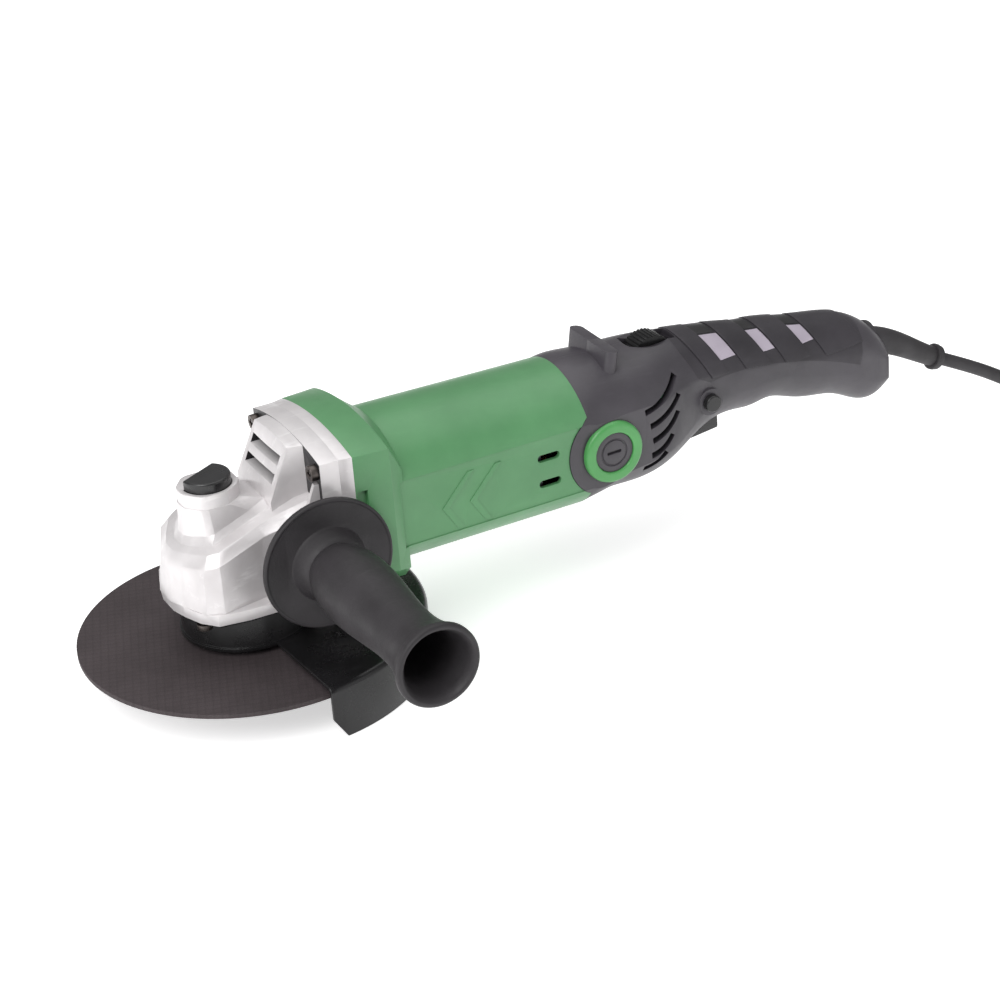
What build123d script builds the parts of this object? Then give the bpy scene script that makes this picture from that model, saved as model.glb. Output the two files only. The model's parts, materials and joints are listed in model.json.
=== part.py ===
from build123d import *
import os
from math import cos, pi, radians, sin, tan

# Angle grinder. Lengths are millimetres. The frame's origin is on the spindle axis at the
# face the disc is clamped against, +Z runs up the spindle and +X along the motor to the tail.

# ---- driving dimensions ------------------------------------------------------------------
FIT = 0.05              # radial clearance of a running fit
WALL = 2.6              # moulded plastic wall
CAST = 3.2              # cast aluminium wall

DISC_R = 75.0
DISC_T = 2.0
DISC_BORE = 11.1
MOTOR_Z = 48.2          # height of the motor axis above the disc
FLOOR_Z = -20.4         # the guard's skirt stands on this surface

HEAD_BASE_Z = 21.0      # underside of the casting
HEAD_RIM_Z = 26.0       # top of the casting's foot rim
HEAD_SLOPE = 15.5       # degrees that the nose's upper edges climb towards the motor
BOSS_FOOT_Z = 66.5      # foot of the lock button's boss
BOSS_Z = 72.6           # top of the lock button's boss
EAR_X = 28.0            # front of the casting's rear flange
HEAD_END = 36.8         # joint between head and bearing plate
PLATE_END = 42.6        # joint between bearing plate and motor housing
BELL_RIDGE = 59.0       # widest section of the motor housing
BELL_END = 66.0
MOTOR_END = 158.0       # joint between motor housing and rear housing
FLANGE_HALF = 34.8

BODY_HALF = 33.4        # flat sides of the motor housing
PANEL_LOW = 32.7        # the flat panel between its two groove lines
PANEL_HIGH = 64.2
BELLY_Z = 15.0
CROWN_FRONT = 84.5
CROWN_REAR = 82.5

GEAR_TEETH = 33
PINION_TEETH = 10
GEAR_HEEL = 21.0        # pitch radius at the outer end of the teeth
GEAR_TOE = 14.0

HANDLE_X = 23.4         # side handle's axis, parallel to Y
HANDLE_Z = 43.2
STUD_R = 5.0
TAPPED_R = 4.3          # tapped hole before its stud is in, to the thread's crests
SOCKET_END = 36.0       # outer face of the side bosses
SOCKET_DEPTH = 12.5

BRUSH_X = 168.7
COMMUTATOR_R = 13.0
CORE_R = 20.0
SHAFT_R = 4.0

GUARD_R = 79.4
COLLAR_R = 28.5
NECK_R = 26.4
CORD_R = 3.25

os.makedirs("parts", exist_ok=True)


# ---- planes, profiles and saving ---------------------------------------------------------
def across(x):
    """Plane square to the motor: local x is +Y, local y is +Z."""
    return Plane(origin=(x, 0, 0), x_dir=(0, 1, 0), z_dir=(1, 0, 0))


def beside(y):
    """Plane along the motor: local x is +X, local y is +Z, its normal is -Y."""
    return Plane(origin=(0, y, 0), x_dir=(1, 0, 0), z_dir=(0, -1, 0))


def level(z):
    return Plane.XY.offset(z)


def on_motor(x):
    """Plane square to the motor with its origin on the motor axis."""
    return Plane(origin=(x, 0, MOTOR_Z), x_dir=(0, 1, 0), z_dir=(1, 0, 0))


def save(piece, name):
    piece.part.label = name
    export_step(piece.part, f"parts/{name}.step")


def both_sides(points):
    """Closes a half outline over the X axis."""
    return points + [(x, -y) for x, y in reversed(points)]


def sloped(z):
    """Plane that climbs towards the motor and crosses the spindle axis at z."""
    climb = radians(HEAD_SLOPE)
    return Plane(origin=(0, 0, z), x_dir=(cos(climb), 0, sin(climb)), z_dir=(-sin(climb), 0, cos(climb)))


def outline(plane, points, inset=0.0):
    """Closed flat polygon on a plane, drawn in by inset."""
    with BuildSketch(plane) as flat:
        Polygon(*both_sides(points), align=None)
        if inset:
            offset(amount=-inset, kind=Kind.INTERSECTION)
    return flat.sketch


def arched(x, half, low, high, belly, crown, inset=0.0):
    """Section with flat sides from low to high between an arched belly and an arched crown."""
    half, belly, crown = half - inset, belly + inset, crown - inset
    with BuildSketch(across(x)) as section:
        with BuildLine():
            ThreePointArc((-half, high), (0, crown), (half, high))
            Line((half, high), (half, low))
            ThreePointArc((half, low), (0, belly), (-half, low))
            Line((-half, low), (-half, high))
        make_face()
    return section.sketch


def flange(x, half, low, high, crown, inset=0.0):
    """Section with upright sides, cut-off lower corners and an arched top."""
    corner = 7.0
    half, low, high, crown = half - inset, low + inset, high - inset, crown - inset
    with BuildSketch(across(x)) as section:
        with BuildLine():
            ThreePointArc((-half, high), (0, crown), (half, high))
            Polyline((half, high), (half, low + corner), (half - corner, low))
            Polyline((half - corner, low), (corner - half, low), (-half, low + corner))
            Line((-half, low + corner), (-half, high))
        make_face()
    return section.sketch


def tent(x, half, low, high, crown):
    """Section of the hood over the exhaust: flat foot, upright sides, arched top."""
    with BuildSketch(across(x)) as section:
        with BuildLine():
            ThreePointArc((-half, high), (0, crown), (half, high))
            Polyline((half, high), (half, low), (-half, low), (-half, high))
        make_face()
    return section.sketch


def motor_crown(x):
    """The motor housing's crown falls slightly towards the tail."""
    share = (x - BELL_END) / (MOTOR_END - BELL_END)
    return CROWN_FRONT + share * (CROWN_REAR - CROWN_FRONT)


def motor_section(x, inset=0.0):
    return arched(x, BODY_HALF, PANEL_LOW, PANEL_HIGH, BELLY_Z, motor_crown(x), inset)


def ring(plane, outer, inner, length):
    """Plain ring standing on a plane."""
    with BuildPart() as piece:
        with BuildSketch(plane):
            Circle(outer)
            Circle(inner, mode=Mode.SUBTRACT)
        extrude(amount=length)
    return piece


# ---- gear head ---------------------------------------------------------------------------
# half outlines of the nose from the foot up: each has the same corners, front to back
FOOT = [(-34.5, 6), (-32.5, 14), (-29, 23.5), (-23.5, 30.5), (-10, 33), (5, 33.5), (EAR_X + 1, 34)]
WALL_LOW = [(-35.4, 6), (-32.4, 14), (-27.2, 26.4), (-20, 30.5), (3, 26.5), (15, 28), (EAR_X + 1, 33)]
WALL_HIGH = [(-34.6, 5), (-31.6, 12), (-26, 24.6), (-19.8, 28), (3, 25), (15, 27), (EAR_X + 1, 32)]
STEP_OUT = [(-31.5, 4), (-28.5, 11), (-22.6, 21.6), (-18, 24.2), (3, 21.5), (15, 21.7), (EAR_X + 1, 24)]
STEP_IN = [(-27.6, 3.5), (-25.4, 9), (-21, 16.5), (-18.2, 18.3), (3, 15), (15, 13.5), (EAR_X + 1, 14)]
PLATEAU = [(-25.4, 3), (-23.4, 7), (-18.5, 13.7), (-15.4, 15.3), (3, 12.6), (12, 9.8), (EAR_X + 1, 10)]
BOSS_FOOT = [(-23.4, 2), (-22.8, 5), (-18, 11.2), (-15, 12.6), (-5.4, 12.6), (0.8, 8.2), (3.4, 4)]
NOSE = (
    (level(HEAD_RIM_Z), WALL_LOW), (sloped(52.4), WALL_HIGH), (sloped(56.7), STEP_OUT), (sloped(57.5), STEP_IN),
    (sloped(60.2), PLATEAU),
)
CAVITY_R = 24.0
CAVITY_Z = 46.4
BUTTON_X = -10.0
STEM_X = -9.5
STEM_R = 2.6
CAP_SHUT_Z = 66.2       # pocket floor under the pressed cap
NEEDLE_R = 6.0
NEEDLE_TOP_Z = 57.6
SPRING_FOOT_Z = 58.4
SLOT_HALF = 14.2

with BuildPart() as gear_housing:
    extrude(outline(level(HEAD_BASE_Z), FOOT), amount=HEAD_RIM_Z - HEAD_BASE_Z)
    for (low_plane, low), (high_plane, high) in zip(NOSE, NOSE[1:]):
        loft([outline(low_plane, low), outline(high_plane, high)], ruled=True)
    loft([outline(sloped(60.2), PLATEAU[:-1]), outline(level(BOSS_FOOT_Z), BOSS_FOOT[:-1])], ruled=True)
    extrude(outline(level(BOSS_FOOT_Z - 3.0), BOSS_FOOT, 0.4), amount=BOSS_Z - BOSS_FOOT_Z + 3.0)
    loft([tent(11.0, 18.0, 50.0, 64.4, 64.6), tent(21.4, 17.2, 50.0, 86.9, 88.4)], ruled=True)
    loft([tent(21.4, 17.2, 50.0, 86.9, 88.4), tent(EAR_X + 1, 19.0, 50.0, 86.7, 88.4)], ruled=True)
    extrude(flange(EAR_X, FLANGE_HALF, 19.0, 83.7, 88.5), amount=HEAD_END - EAR_X)
    with BuildSketch(beside(-32.0)):
        Polygon((16.0, 50.0), (EAR_X + 1, 50.0), (EAR_X + 1, 74.0), (EAR_X - 2, 74.0), align=None)
    extrude(amount=-2.2)
    mirror(about=Plane.XZ)
    with BuildSketch(Plane(origin=(HANDLE_X, 0, HANDLE_Z), x_dir=(1, 0, 0), z_dir=(0, 1, 0))):
        Circle(11.0)
    extrude(amount=SOCKET_END, both=True)
    # hollow for the gears, and behind it for the front bearing and the cooling air
    extrude(outline(level(HEAD_BASE_Z), WALL_LOW, CAST), amount=15.0, mode=Mode.SUBTRACT)
    with BuildSketch(level(HEAD_BASE_Z)):
        Circle(CAVITY_R)
    extrude(amount=CAVITY_Z - HEAD_BASE_Z, mode=Mode.SUBTRACT)
    with BuildSketch(across(HEAD_END)):
        with Locations((0, 41.0)):
            Rectangle(44.0, 34.0)
        with Locations((0, MOTOR_Z)):
            Circle(18.9)
        with Locations((0, 70.0)):
            Rectangle(2 * SLOT_HALF + 1, 28.0)
    extrude(amount=HEAD_END - 23.0, dir=(-1, 0, 0), mode=Mode.SUBTRACT)
    # room for the pinion above the gear
    with BuildSketch(across(24.0)):
        with Locations((0, 48.0)):
            Rectangle(20.0, 18.0)
    extrude(amount=14.0, dir=(-1, 0, 0), mode=Mode.SUBTRACT)
    for z, x in ((72.7, 14.3), (80.5, 17.9)):
        with BuildSketch(beside(0)):
            with Locations((x + 4.0, z)):
                Rectangle(16.0, 4.2)
        extrude(amount=SLOT_HALF, both=True, mode=Mode.SUBTRACT)
    with BuildSketch(level(CAVITY_Z)):
        Circle(NEEDLE_R)
    extrude(amount=NEEDLE_TOP_Z - CAVITY_Z, mode=Mode.SUBTRACT)
    with BuildSketch(Plane(origin=(STEM_X, 0, 44.0), z_dir=(0, 0, 1))):
        Circle(STEM_R + FIT)
    extrude(amount=18.0, mode=Mode.SUBTRACT)
    with BuildSketch(Plane(origin=(STEM_X, 0, SPRING_FOOT_Z), z_dir=(0, 0, 1))):
        Circle(4.8)
    extrude(amount=20.0, mode=Mode.SUBTRACT)
    # socket that holds the side handle's stud, and a blind tapped one on the far side
    with BuildSketch(Plane(origin=(HANDLE_X, 0, HANDLE_Z), x_dir=(1, 0, 0), z_dir=(0, -1, 0))):
        Circle(STUD_R)
    extrude(amount=SOCKET_END, mode=Mode.SUBTRACT)
    with BuildSketch(Plane(origin=(HANDLE_X, SOCKET_END, HANDLE_Z), x_dir=(1, 0, 0), z_dir=(0, -1, 0))):
        Circle(TAPPED_R)
    extrude(amount=SOCKET_DEPTH, mode=Mode.SUBTRACT)


def button_outline(z, grow=0.0):
    """Round outline with one flat, across the button's far front corner."""
    turn = 27.8
    with BuildSketch(Plane(origin=(BUTTON_X, 0, z), z_dir=(0, 0, 1))) as cap:
        Circle(10.6 + grow)
        with Locations(Location((0, 0, 0), (0, 0, turn))):
            with Locations((0, 4.6 + grow + 20.0)):
                Rectangle(40.0, 40.0, mode=Mode.SUBTRACT)
    return cap.sketch


with BuildPart(mode=Mode.PRIVATE) as button_pocket:
    extrude(button_outline(CAP_SHUT_Z, 0.35), amount=10.0)

with BuildPart() as gear_housing_cut:
    add(gear_housing.part)
    add(button_pocket.part, mode=Mode.SUBTRACT)

BELL_FRONT = (36.2, 19.0, 83.7, 88.5)
HEAD_SCREW_YZ = ((-30.5, 79.0), (30.5, 79.0), (-29.0, 25.5), (29.0, 25.5))
SCREW_SHANK_R = 2.0
with BuildPart() as head_screws:
    for y, z in HEAD_SCREW_YZ:
        with BuildSketch(Plane(origin=(EAR_X, y, z), x_dir=(0, 1, 0), z_dir=(-1, 0, 0))):
            Circle(3.6)
        extrude(amount=3.4)
        with BuildSketch(Plane(origin=(EAR_X, y, z), x_dir=(0, 1, 0), z_dir=(1, 0, 0))):
            Circle(SCREW_SHANK_R)
        extrude(amount=26.0)
    for y, z in HEAD_SCREW_YZ:
        with BuildSketch(Plane(origin=(EAR_X - 3.4, y, z), x_dir=(0, 1, 0), z_dir=(1, 0, 0))):
            Rectangle(4.2, 1.0)
            Rectangle(1.0, 4.2)
        extrude(amount=1.8, mode=Mode.SUBTRACT)

with BuildPart() as screw_holes:
    for y, z in HEAD_SCREW_YZ:
        with BuildSketch(Plane(origin=(EAR_X, y, z), x_dir=(0, 1, 0), z_dir=(1, 0, 0))):
            Circle(SCREW_SHANK_R)
        extrude(amount=26.0)
        with BuildSketch(Plane(origin=(EAR_X, y, z), x_dir=(0, 1, 0), z_dir=(-1, 0, 0))):
            Circle(4.0)
        extrude(amount=8.0)

with BuildPart() as head:
    add(gear_housing_cut.part)
    add(screw_holes.part, mode=Mode.SUBTRACT)

BEARING_12 = (16.0, 6.0, 10.0)     # outer radius, bore radius and width of the front bearing
FRONT_BEARING_X = 30.0
with BuildPart() as bearing_plate:
    loft([flange(HEAD_END, FLANGE_HALF, 19.0, 83.7, 88.5), flange(PLATE_END, *BELL_FRONT)])
    with BuildSketch(on_motor(FRONT_BEARING_X)):
        Circle(BEARING_12[0] + 2.4)
    extrude(amount=HEAD_END - FRONT_BEARING_X)
    with BuildSketch(on_motor(FRONT_BEARING_X)):
        Circle(BEARING_12[0])
    extrude(amount=BEARING_12[2], mode=Mode.SUBTRACT)
    with BuildSketch(on_motor(FRONT_BEARING_X)):
        Circle(11.0)
    extrude(amount=20.0, mode=Mode.SUBTRACT)
    for height, width in ((72.0, 30.0), (26.0, 36.0)):
        with BuildSketch(across(HEAD_END)):
            with Locations((0, height)):
                RectangleRounded(width, 6.0, 2.0)
        extrude(amount=10.0, mode=Mode.SUBTRACT)
    add(screw_holes.part, mode=Mode.SUBTRACT)

SPINDLE_BEARING = (20.0, 8.5, 12.0)
SPINDLE_BEARING_Z = 9.0
COVER_SCREWS = ((-26.5, 20.5), (-26.5, -20.5), (22.0, 25.0), (22.0, -25.0))
with BuildPart() as spindle_cover:
    extrude(outline(level(19.4), FOOT[:-1] + [(27, 33)], 1.8), amount=HEAD_BASE_Z - 19.4)
    with BuildSketch(level(6.0)):
        Circle(NECK_R)
    extrude(amount=13.4)
    with BuildSketch(level(SPINDLE_BEARING_Z)):
        Circle(SPINDLE_BEARING[0])
    extrude(amount=SPINDLE_BEARING[2], mode=Mode.SUBTRACT)
    with BuildSketch(level(0)):
        Circle(12.0)
    extrude(amount=30.0, mode=Mode.SUBTRACT)
    with BuildSketch(level(19.4)):
        with Locations(*COVER_SCREWS):
            Circle(1.9)
    extrude(amount=1.6, mode=Mode.SUBTRACT)

with BuildPart() as cover_screws:
    with BuildSketch(level(16.8)):
        with Locations(*COVER_SCREWS):
            Circle(3.4)
    extrude(amount=2.6)
    with BuildSketch(level(19.4)):
        with Locations(*COVER_SCREWS):
            Circle(1.9)
    extrude(amount=1.6)
    with BuildSketch(level(16.8)):
        with Locations(*COVER_SCREWS):
            RegularPolygon(radius=1.9, side_count=6)
    extrude(amount=1.4, mode=Mode.SUBTRACT)

spindle_bearing = ring(level(SPINDLE_BEARING_Z), SPINDLE_BEARING[0], SPINDLE_BEARING[1] + FIT, 12.0)
needle_bearing = ring(level(NEEDLE_TOP_Z - 8.0), NEEDLE_R, 3.5 + FIT, 8.0)
front_bearing = ring(on_motor(FRONT_BEARING_X), BEARING_12[0], BEARING_12[1] + FIT, BEARING_12[2])

# ---- lock button and its spring ----------------------------------------------------------
STEM_FOOT_Z = 46.2      # pressed by its free travel, the stem stops just above the gear

with BuildPart() as spindle_lock_button:
    extrude(button_outline(CAP_SHUT_Z + 4.2), amount=6.8)
    fillet(spindle_lock_button.faces().sort_by(Axis.Z)[-1].edges(), radius=1.0)
    with BuildSketch(Plane(origin=(STEM_X, 0, STEM_FOOT_Z), z_dir=(0, 0, 1))):
        Circle(STEM_R)
    extrude(amount=CAP_SHUT_Z + 4.2 - STEM_FOOT_Z)


def coil_spring(base, radius, wire, turns, height):
    """Round-wire spring standing on a plane."""
    rise = height - 2 * wire
    with BuildPart(mode=Mode.PRIVATE) as upright:
        with BuildLine(level(wire)):
            path = Helix(pitch=rise / turns, height=rise, radius=radius)
        with BuildSketch(Plane(origin=path @ 0, z_dir=path % 0)):
            Circle(wire)
        sweep(path=path.edges()[0], is_frenet=True)
    with BuildPart() as spring:
        add(upright.part.moved(base.location))
    return spring


lock_spring = coil_spring(Plane(origin=(STEM_X, 0, SPRING_FOOT_Z), z_dir=(0, 0, 1)), 3.8, 0.45, 5, 11.9)

# ---- output spindle and bevel gears ------------------------------------------------------
with BuildPart() as spindle:
    with BuildSketch(Plane.XZ):
        with BuildLine():
            Polyline(
                (0, -13.0), (6.0, -13.0), (7.0, -12.0), (7.0, 0.0), (11.0, 0.0), (11.0, 8.9),
                (SPINDLE_BEARING[1], 8.9), (SPINDLE_BEARING[1], 24.0), (5.5, 24.0), (5.5, 42.6),
                (3.5, 42.6), (3.5, 57.4), (0, 57.4), (0, -13.0),
            )
        make_face()
    revolve(axis=Axis.Z)

APEX_Z = MOTOR_Z
PITCH_DROP = GEAR_HEEL * PINION_TEETH / GEAR_TEETH   # pinion pitch radius at the heel
TOE = GEAR_TOE / GEAR_HEEL


def tooth_section(x, base_half, base_z, tip_half, tip_z, scale):
    """Trapezoid across a radial tooth, drawn towards the apex by scale."""
    base_z, tip_z = (APEX_Z + scale * (z - APEX_Z) for z in (base_z, tip_z))
    with BuildSketch(across(x)) as section:
        Polygon(
            (-base_half * scale, base_z), (base_half * scale, base_z),
            (tip_half * scale, tip_z), (-tip_half * scale, tip_z), align=None,
        )
    return section.sketch


GEAR_PITCH_Z = APEX_Z - PITCH_DROP
with BuildPart() as gear_tooth:
    loft([
        tooth_section(GEAR_HEEL, 1.12, GEAR_PITCH_Z - 1.35, 0.42, GEAR_PITCH_Z + 0.85, 1.0),
        tooth_section(GEAR_TOE, 1.12, GEAR_PITCH_Z - 1.35, 0.42, GEAR_PITCH_Z + 0.85, TOE),
    ], ruled=True)

with BuildPart() as drive_gear:
    with BuildSketch(Plane.XZ):
        with BuildLine():
            Polyline(
                (5.5, 32.0), (12.0, 32.0), (GEAR_HEEL + 0.3, 35.5), (GEAR_HEEL + 0.3, 40.55),
                (GEAR_TOE - 0.2, 43.1), (GEAR_TOE - 1.2, 41.8), (5.5, 41.8), (5.5, 32.0),
            )
        make_face()
    revolve(axis=Axis.Z)
    add([gear_tooth.part.rotate(Axis.Z, (tooth + 0.5) * 360 / GEAR_TEETH) for tooth in range(GEAR_TEETH)])
    with BuildSketch(level(38.0)):
        with PolarLocations(abs(STEM_X), 4):
            Circle(STEM_R + 0.6)
    extrude(amount=5.0, mode=Mode.SUBTRACT)

MOTOR_AXIS = Axis((0, 0, MOTOR_Z), (1, 0, 0))
with BuildPart() as pinion_tooth:
    loft([
        tooth_section(GEAR_HEEL, 1.15, GEAR_PITCH_Z + 1.5, 0.42, GEAR_PITCH_Z - 0.85, 1.0),
        tooth_section(GEAR_TOE, 1.15, GEAR_PITCH_Z + 1.5, 0.42, GEAR_PITCH_Z - 0.85, TOE),
    ], ruled=True)

with BuildPart() as drive_pinion:
    with BuildSketch(Plane(origin=(0, 0, MOTOR_Z), x_dir=(1, 0, 0), z_dir=(0, -1, 0))):
        with BuildLine():
            root = PITCH_DROP - 1.25
            Polyline(
                (GEAR_TOE, SHAFT_R - 1), (GEAR_TOE, root * TOE), (GEAR_HEEL, root), (GEAR_HEEL + 1, root),
                (GEAR_HEEL + 1, 6.0), (29.9, 6.0), (29.9, SHAFT_R - 1), (GEAR_TOE, SHAFT_R - 1),
            )
        make_face()
    revolve(axis=MOTOR_AXIS)
    add([pinion_tooth.part.rotate(MOTOR_AXIS, tooth * 360 / PINION_TEETH) for tooth in range(PINION_TEETH)])
    with BuildSketch(on_motor(GEAR_TOE)):
        Circle(SHAFT_R - 1)
    extrude(amount=20.0, mode=Mode.SUBTRACT)

inner_flange = ring(level(0), 21.0, 11.0, 4.0)

with BuildPart() as cutting_disc:
    with BuildSketch(level(-DISC_T)):
        Circle(DISC_R)
        Circle(DISC_BORE, mode=Mode.SUBTRACT)
    extrude(amount=DISC_T)

with BuildPart() as lock_nut:
    with BuildSketch(level(-DISC_T - 7.0)):
        Circle(19.0)
        Circle(7.0, mode=Mode.SUBTRACT)
        with PolarLocations(15.0, 2):
            Circle(2.5, mode=Mode.SUBTRACT)
    extrude(amount=7.0)
    with BuildSketch(level(-DISC_T)):
        Circle(DISC_BORE)
        Circle(7.0, mode=Mode.SUBTRACT)
    extrude(amount=DISC_T)

# ---- guard -------------------------------------------------------------------------------
PLATE_Z = 2.8
SHEET = 1.8
GUARD_SWEEP = 174.0
COLLAR_LIP_R = 29.3
RIM_R = GUARD_R - 3.0

with BuildPart() as guard_shell:
    with BuildSketch(Plane.XZ):
        with BuildLine():
            Line((COLLAR_LIP_R + 0.05, PLATE_Z), (RIM_R, PLATE_Z))
            RadiusArc((RIM_R, PLATE_Z), (GUARD_R - SHEET, PLATE_Z - 1.2), 1.2)
            Polyline((GUARD_R - SHEET, PLATE_Z - 1.2), (GUARD_R - SHEET, FLOOR_Z), (GUARD_R, FLOOR_Z),
                     (GUARD_R, PLATE_Z + SHEET - 3.0))
            RadiusArc((GUARD_R, PLATE_Z + SHEET - 3.0), (RIM_R, PLATE_Z + SHEET), -3.0)
            Polyline((RIM_R, PLATE_Z + SHEET), (COLLAR_LIP_R + 0.05, PLATE_Z + SHEET),
                     (COLLAR_LIP_R + 0.05, PLATE_Z))
        make_face()
    revolve(axis=Axis.Z, revolution_arc=GUARD_SWEEP)

with BuildPart() as guard_turned:
    add(guard_shell.part.rotate(Axis.Z, -GUARD_SWEEP / 2))
    # the skirt's two front corners are cut off
    for side in (-1, 1):
        with BuildSketch(beside(side * 60.0)):
            Polygon((2.0, -7.5), (10.6, FLOOR_Z - 1.0), (0.0, FLOOR_Z - 1.0), (0.0, -7.5), align=None)
        extrude(amount=-side * 30.0, mode=Mode.SUBTRACT)

COLLAR_TALL = 15.8
EARS_Z = 7.4            # the clamp's ears pass under the heads of the cover's screws
EARS_TALL = 9.0
SCREW_Y = COLLAR_R + 3.6
SCREW_Z = EARS_Z + EARS_TALL / 2
with BuildPart() as guard_collar:
    with BuildSketch(level(PLATE_Z)):
        Circle(COLLAR_R)
        Circle(NECK_R + FIT, mode=Mode.SUBTRACT)
    extrude(amount=COLLAR_TALL)
    with BuildSketch(level(PLATE_Z)):
        Circle(COLLAR_LIP_R)
        Circle(NECK_R + FIT, mode=Mode.SUBTRACT)
    extrude(amount=SHEET)
    with BuildSketch(level(EARS_Z)):
        with Locations((0, COLLAR_R + 3.0)):
            Rectangle(14.0, 8.0)
        Circle(COLLAR_R - 0.5, mode=Mode.SUBTRACT)
    extrude(amount=EARS_TALL)
    with BuildSketch(level(EARS_Z)):
        with Locations((0, COLLAR_R + 3.0)):
            Rectangle(2.0, 16.0)
    extrude(amount=COLLAR_TALL, mode=Mode.SUBTRACT)
    with BuildSketch(Plane(origin=(0, SCREW_Y, SCREW_Z), x_dir=(0, 1, 0), z_dir=(1, 0, 0))):
        Circle(2.0)
    extrude(amount=20.0, both=True, mode=Mode.SUBTRACT)

with BuildPart() as guard_screw:
    with BuildSketch(Plane(origin=(-8.0, SCREW_Y, SCREW_Z), x_dir=(0, 1, 0), z_dir=(1, 0, 0))):
        Circle(2.0)
    extrude(amount=18.0)
    with BuildSketch(Plane(origin=(-7.0, SCREW_Y, SCREW_Z), x_dir=(0, 1, 0), z_dir=(-1, 0, 0))):
        Circle(3.8)
    extrude(amount=4.0)
    with BuildSketch(Plane(origin=(-11.0, SCREW_Y, SCREW_Z), x_dir=(0, 1, 0), z_dir=(1, 0, 0))):
        RegularPolygon(radius=2.2, side_count=6)
    extrude(amount=2.0, mode=Mode.SUBTRACT)

# ---- side handle -------------------------------------------------------------------------
HANDLE_PLANE = Plane(origin=(HANDLE_X, 0, HANDLE_Z), x_dir=(1, 0, 0), z_dir=(0, 0, 1))
HANDLE_AXIS = Axis((HANDLE_X, 0, HANDLE_Z), (0, 1, 0))
HANDLE_TIP = -148.4
GRIP_START = -53.5
with BuildPart() as handle_flange:
    with BuildSketch(HANDLE_PLANE):
        with BuildLine():
            Polyline((STUD_R, -SOCKET_END), (12.0, -SOCKET_END), (13.0, -42.6), (29.0, -42.6), (29.7, -43.2),
                     (29.7, -45.6), (28.7, -46.0), (28.2, -45.4), (17.0, -45.4), (14.2, -52.0),
                     (13.0, GRIP_START), (STUD_R, GRIP_START), (STUD_R, -SOCKET_END))
        make_face()
    revolve(axis=HANDLE_AXIS)

with BuildPart() as side_handle:
    with BuildSketch(HANDLE_PLANE):
        with BuildLine():
            Spline((13.0, GRIP_START), (14.6, -100.0), (15.6, -138.0), (18.3, HANDLE_TIP + 3.0))
            Polyline((18.3, HANDLE_TIP + 3.0), (18.3, HANDLE_TIP + 0.8), (17.5, HANDLE_TIP), (16.2, HANDLE_TIP),
                     (14.8, HANDLE_TIP + 2.0), (12.6, -137.0), (10.4, -74.0), (STUD_R, -74.0),
                     (STUD_R, GRIP_START), (13.0, GRIP_START))
        make_face()
    revolve(axis=HANDLE_AXIS)

with BuildPart() as handle_stud:
    with BuildSketch(Plane(origin=(HANDLE_X, -24.5, HANDLE_Z), x_dir=(1, 0, 0), z_dir=(0, -1, 0))):
        Circle(STUD_R)
    extrude(amount=52.0)
    with BuildSketch(Plane(origin=(HANDLE_X, -74.0, HANDLE_Z), x_dir=(1, 0, 0), z_dir=(0, -1, 0))):
        RegularPolygon(radius=8.4, side_count=6)
    extrude(amount=5.0)

# ---- motor housing -----------------------------------------------------------------------
BELL_WIDE = (37.8, 18.0, 83.6, 89.0)
NECK_SECTION = (33.5, 15.5, 70.0, 84.0)
RING_CUT_R = 21.7
BRUSH_PLANE = Plane(origin=(BRUSH_X, 0, MOTOR_Z), x_dir=(1, 0, 0), z_dir=(0, -1, 0))
COOLING_SLOTS = ((137.0, 54.5), (137.0, 42.0))

with BuildPart() as motor_housing:
    loft([flange(PLATE_END, *BELL_FRONT), flange(BELL_RIDGE, *BELL_WIDE)], ruled=True)
    loft([flange(BELL_RIDGE, *BELL_WIDE), flange(BELL_END, *NECK_SECTION)], ruled=True)
    loft([motor_section(BELL_RIDGE), motor_section(MOTOR_END)], ruled=True)
    loft([flange(PLATE_END, *BELL_FRONT, WALL), flange(BELL_RIDGE, *BELL_WIDE, WALL)], ruled=True,
         mode=Mode.SUBTRACT)
    loft([motor_section(BELL_RIDGE, WALL), motor_section(MOTOR_END, WALL)], ruled=True, mode=Mode.SUBTRACT)
    for y, z in HEAD_SCREW_YZ:
        with BuildSketch(Plane(origin=(PLATE_END, y, z), x_dir=(0, 1, 0), z_dir=(1, 0, 0))):
            Circle(4.6)
        extrude(amount=14.0)
    add(screw_holes.part, mode=Mode.SUBTRACT)
    # shallow flat panels with raised chevrons, and the cooling slots
    for side in (-1, 1):
        with BuildSketch(beside(side * (BODY_HALF + 4.0))):
            with Locations(((BELL_RIDGE + 5 + 210) / 2, (PANEL_LOW + PANEL_HIGH) / 2)):
                Rectangle(210 - BELL_RIDGE - 5, PANEL_HIGH - PANEL_LOW)
        extrude(amount=side * 4.5, mode=Mode.SUBTRACT)
        for start in (0.0, 13.5):
            with BuildSketch(beside(side * (BODY_HALF - 1.0))):
                Polygon((83.5 + start, 45.0), (97.0 + start, 59.5), (100.0 + start, 59.5), (87.0 + start, 45.0),
                        (93.5 + start, 33.8), (90.5 + start, 33.8), align=None)
            extrude(amount=-side * 0.95)
        with BuildSketch(beside(side * (BODY_HALF + 4.0))):
            with Locations(*COOLING_SLOTS):
                SlotOverall(11.0, 3.6)
        extrude(amount=side * 10.0, mode=Mode.SUBTRACT)
        with BuildSketch(beside(side * 42.0)):
            with Locations((45.6, 63.0)):
                Rectangle(4.8, 8.0)
        extrude(amount=side * 7.6, mode=Mode.SUBTRACT)
    with BuildSketch(BRUSH_PLANE):
        Circle(RING_CUT_R)
    extrude(amount=60.0, both=True, mode=Mode.SUBTRACT)

with BuildPart() as fan_baffle:
    with BuildSketch(on_motor(61.5)):
        Circle(29.5)
        Circle(16.0, mode=Mode.SUBTRACT)
    extrude(amount=2.0)

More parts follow.
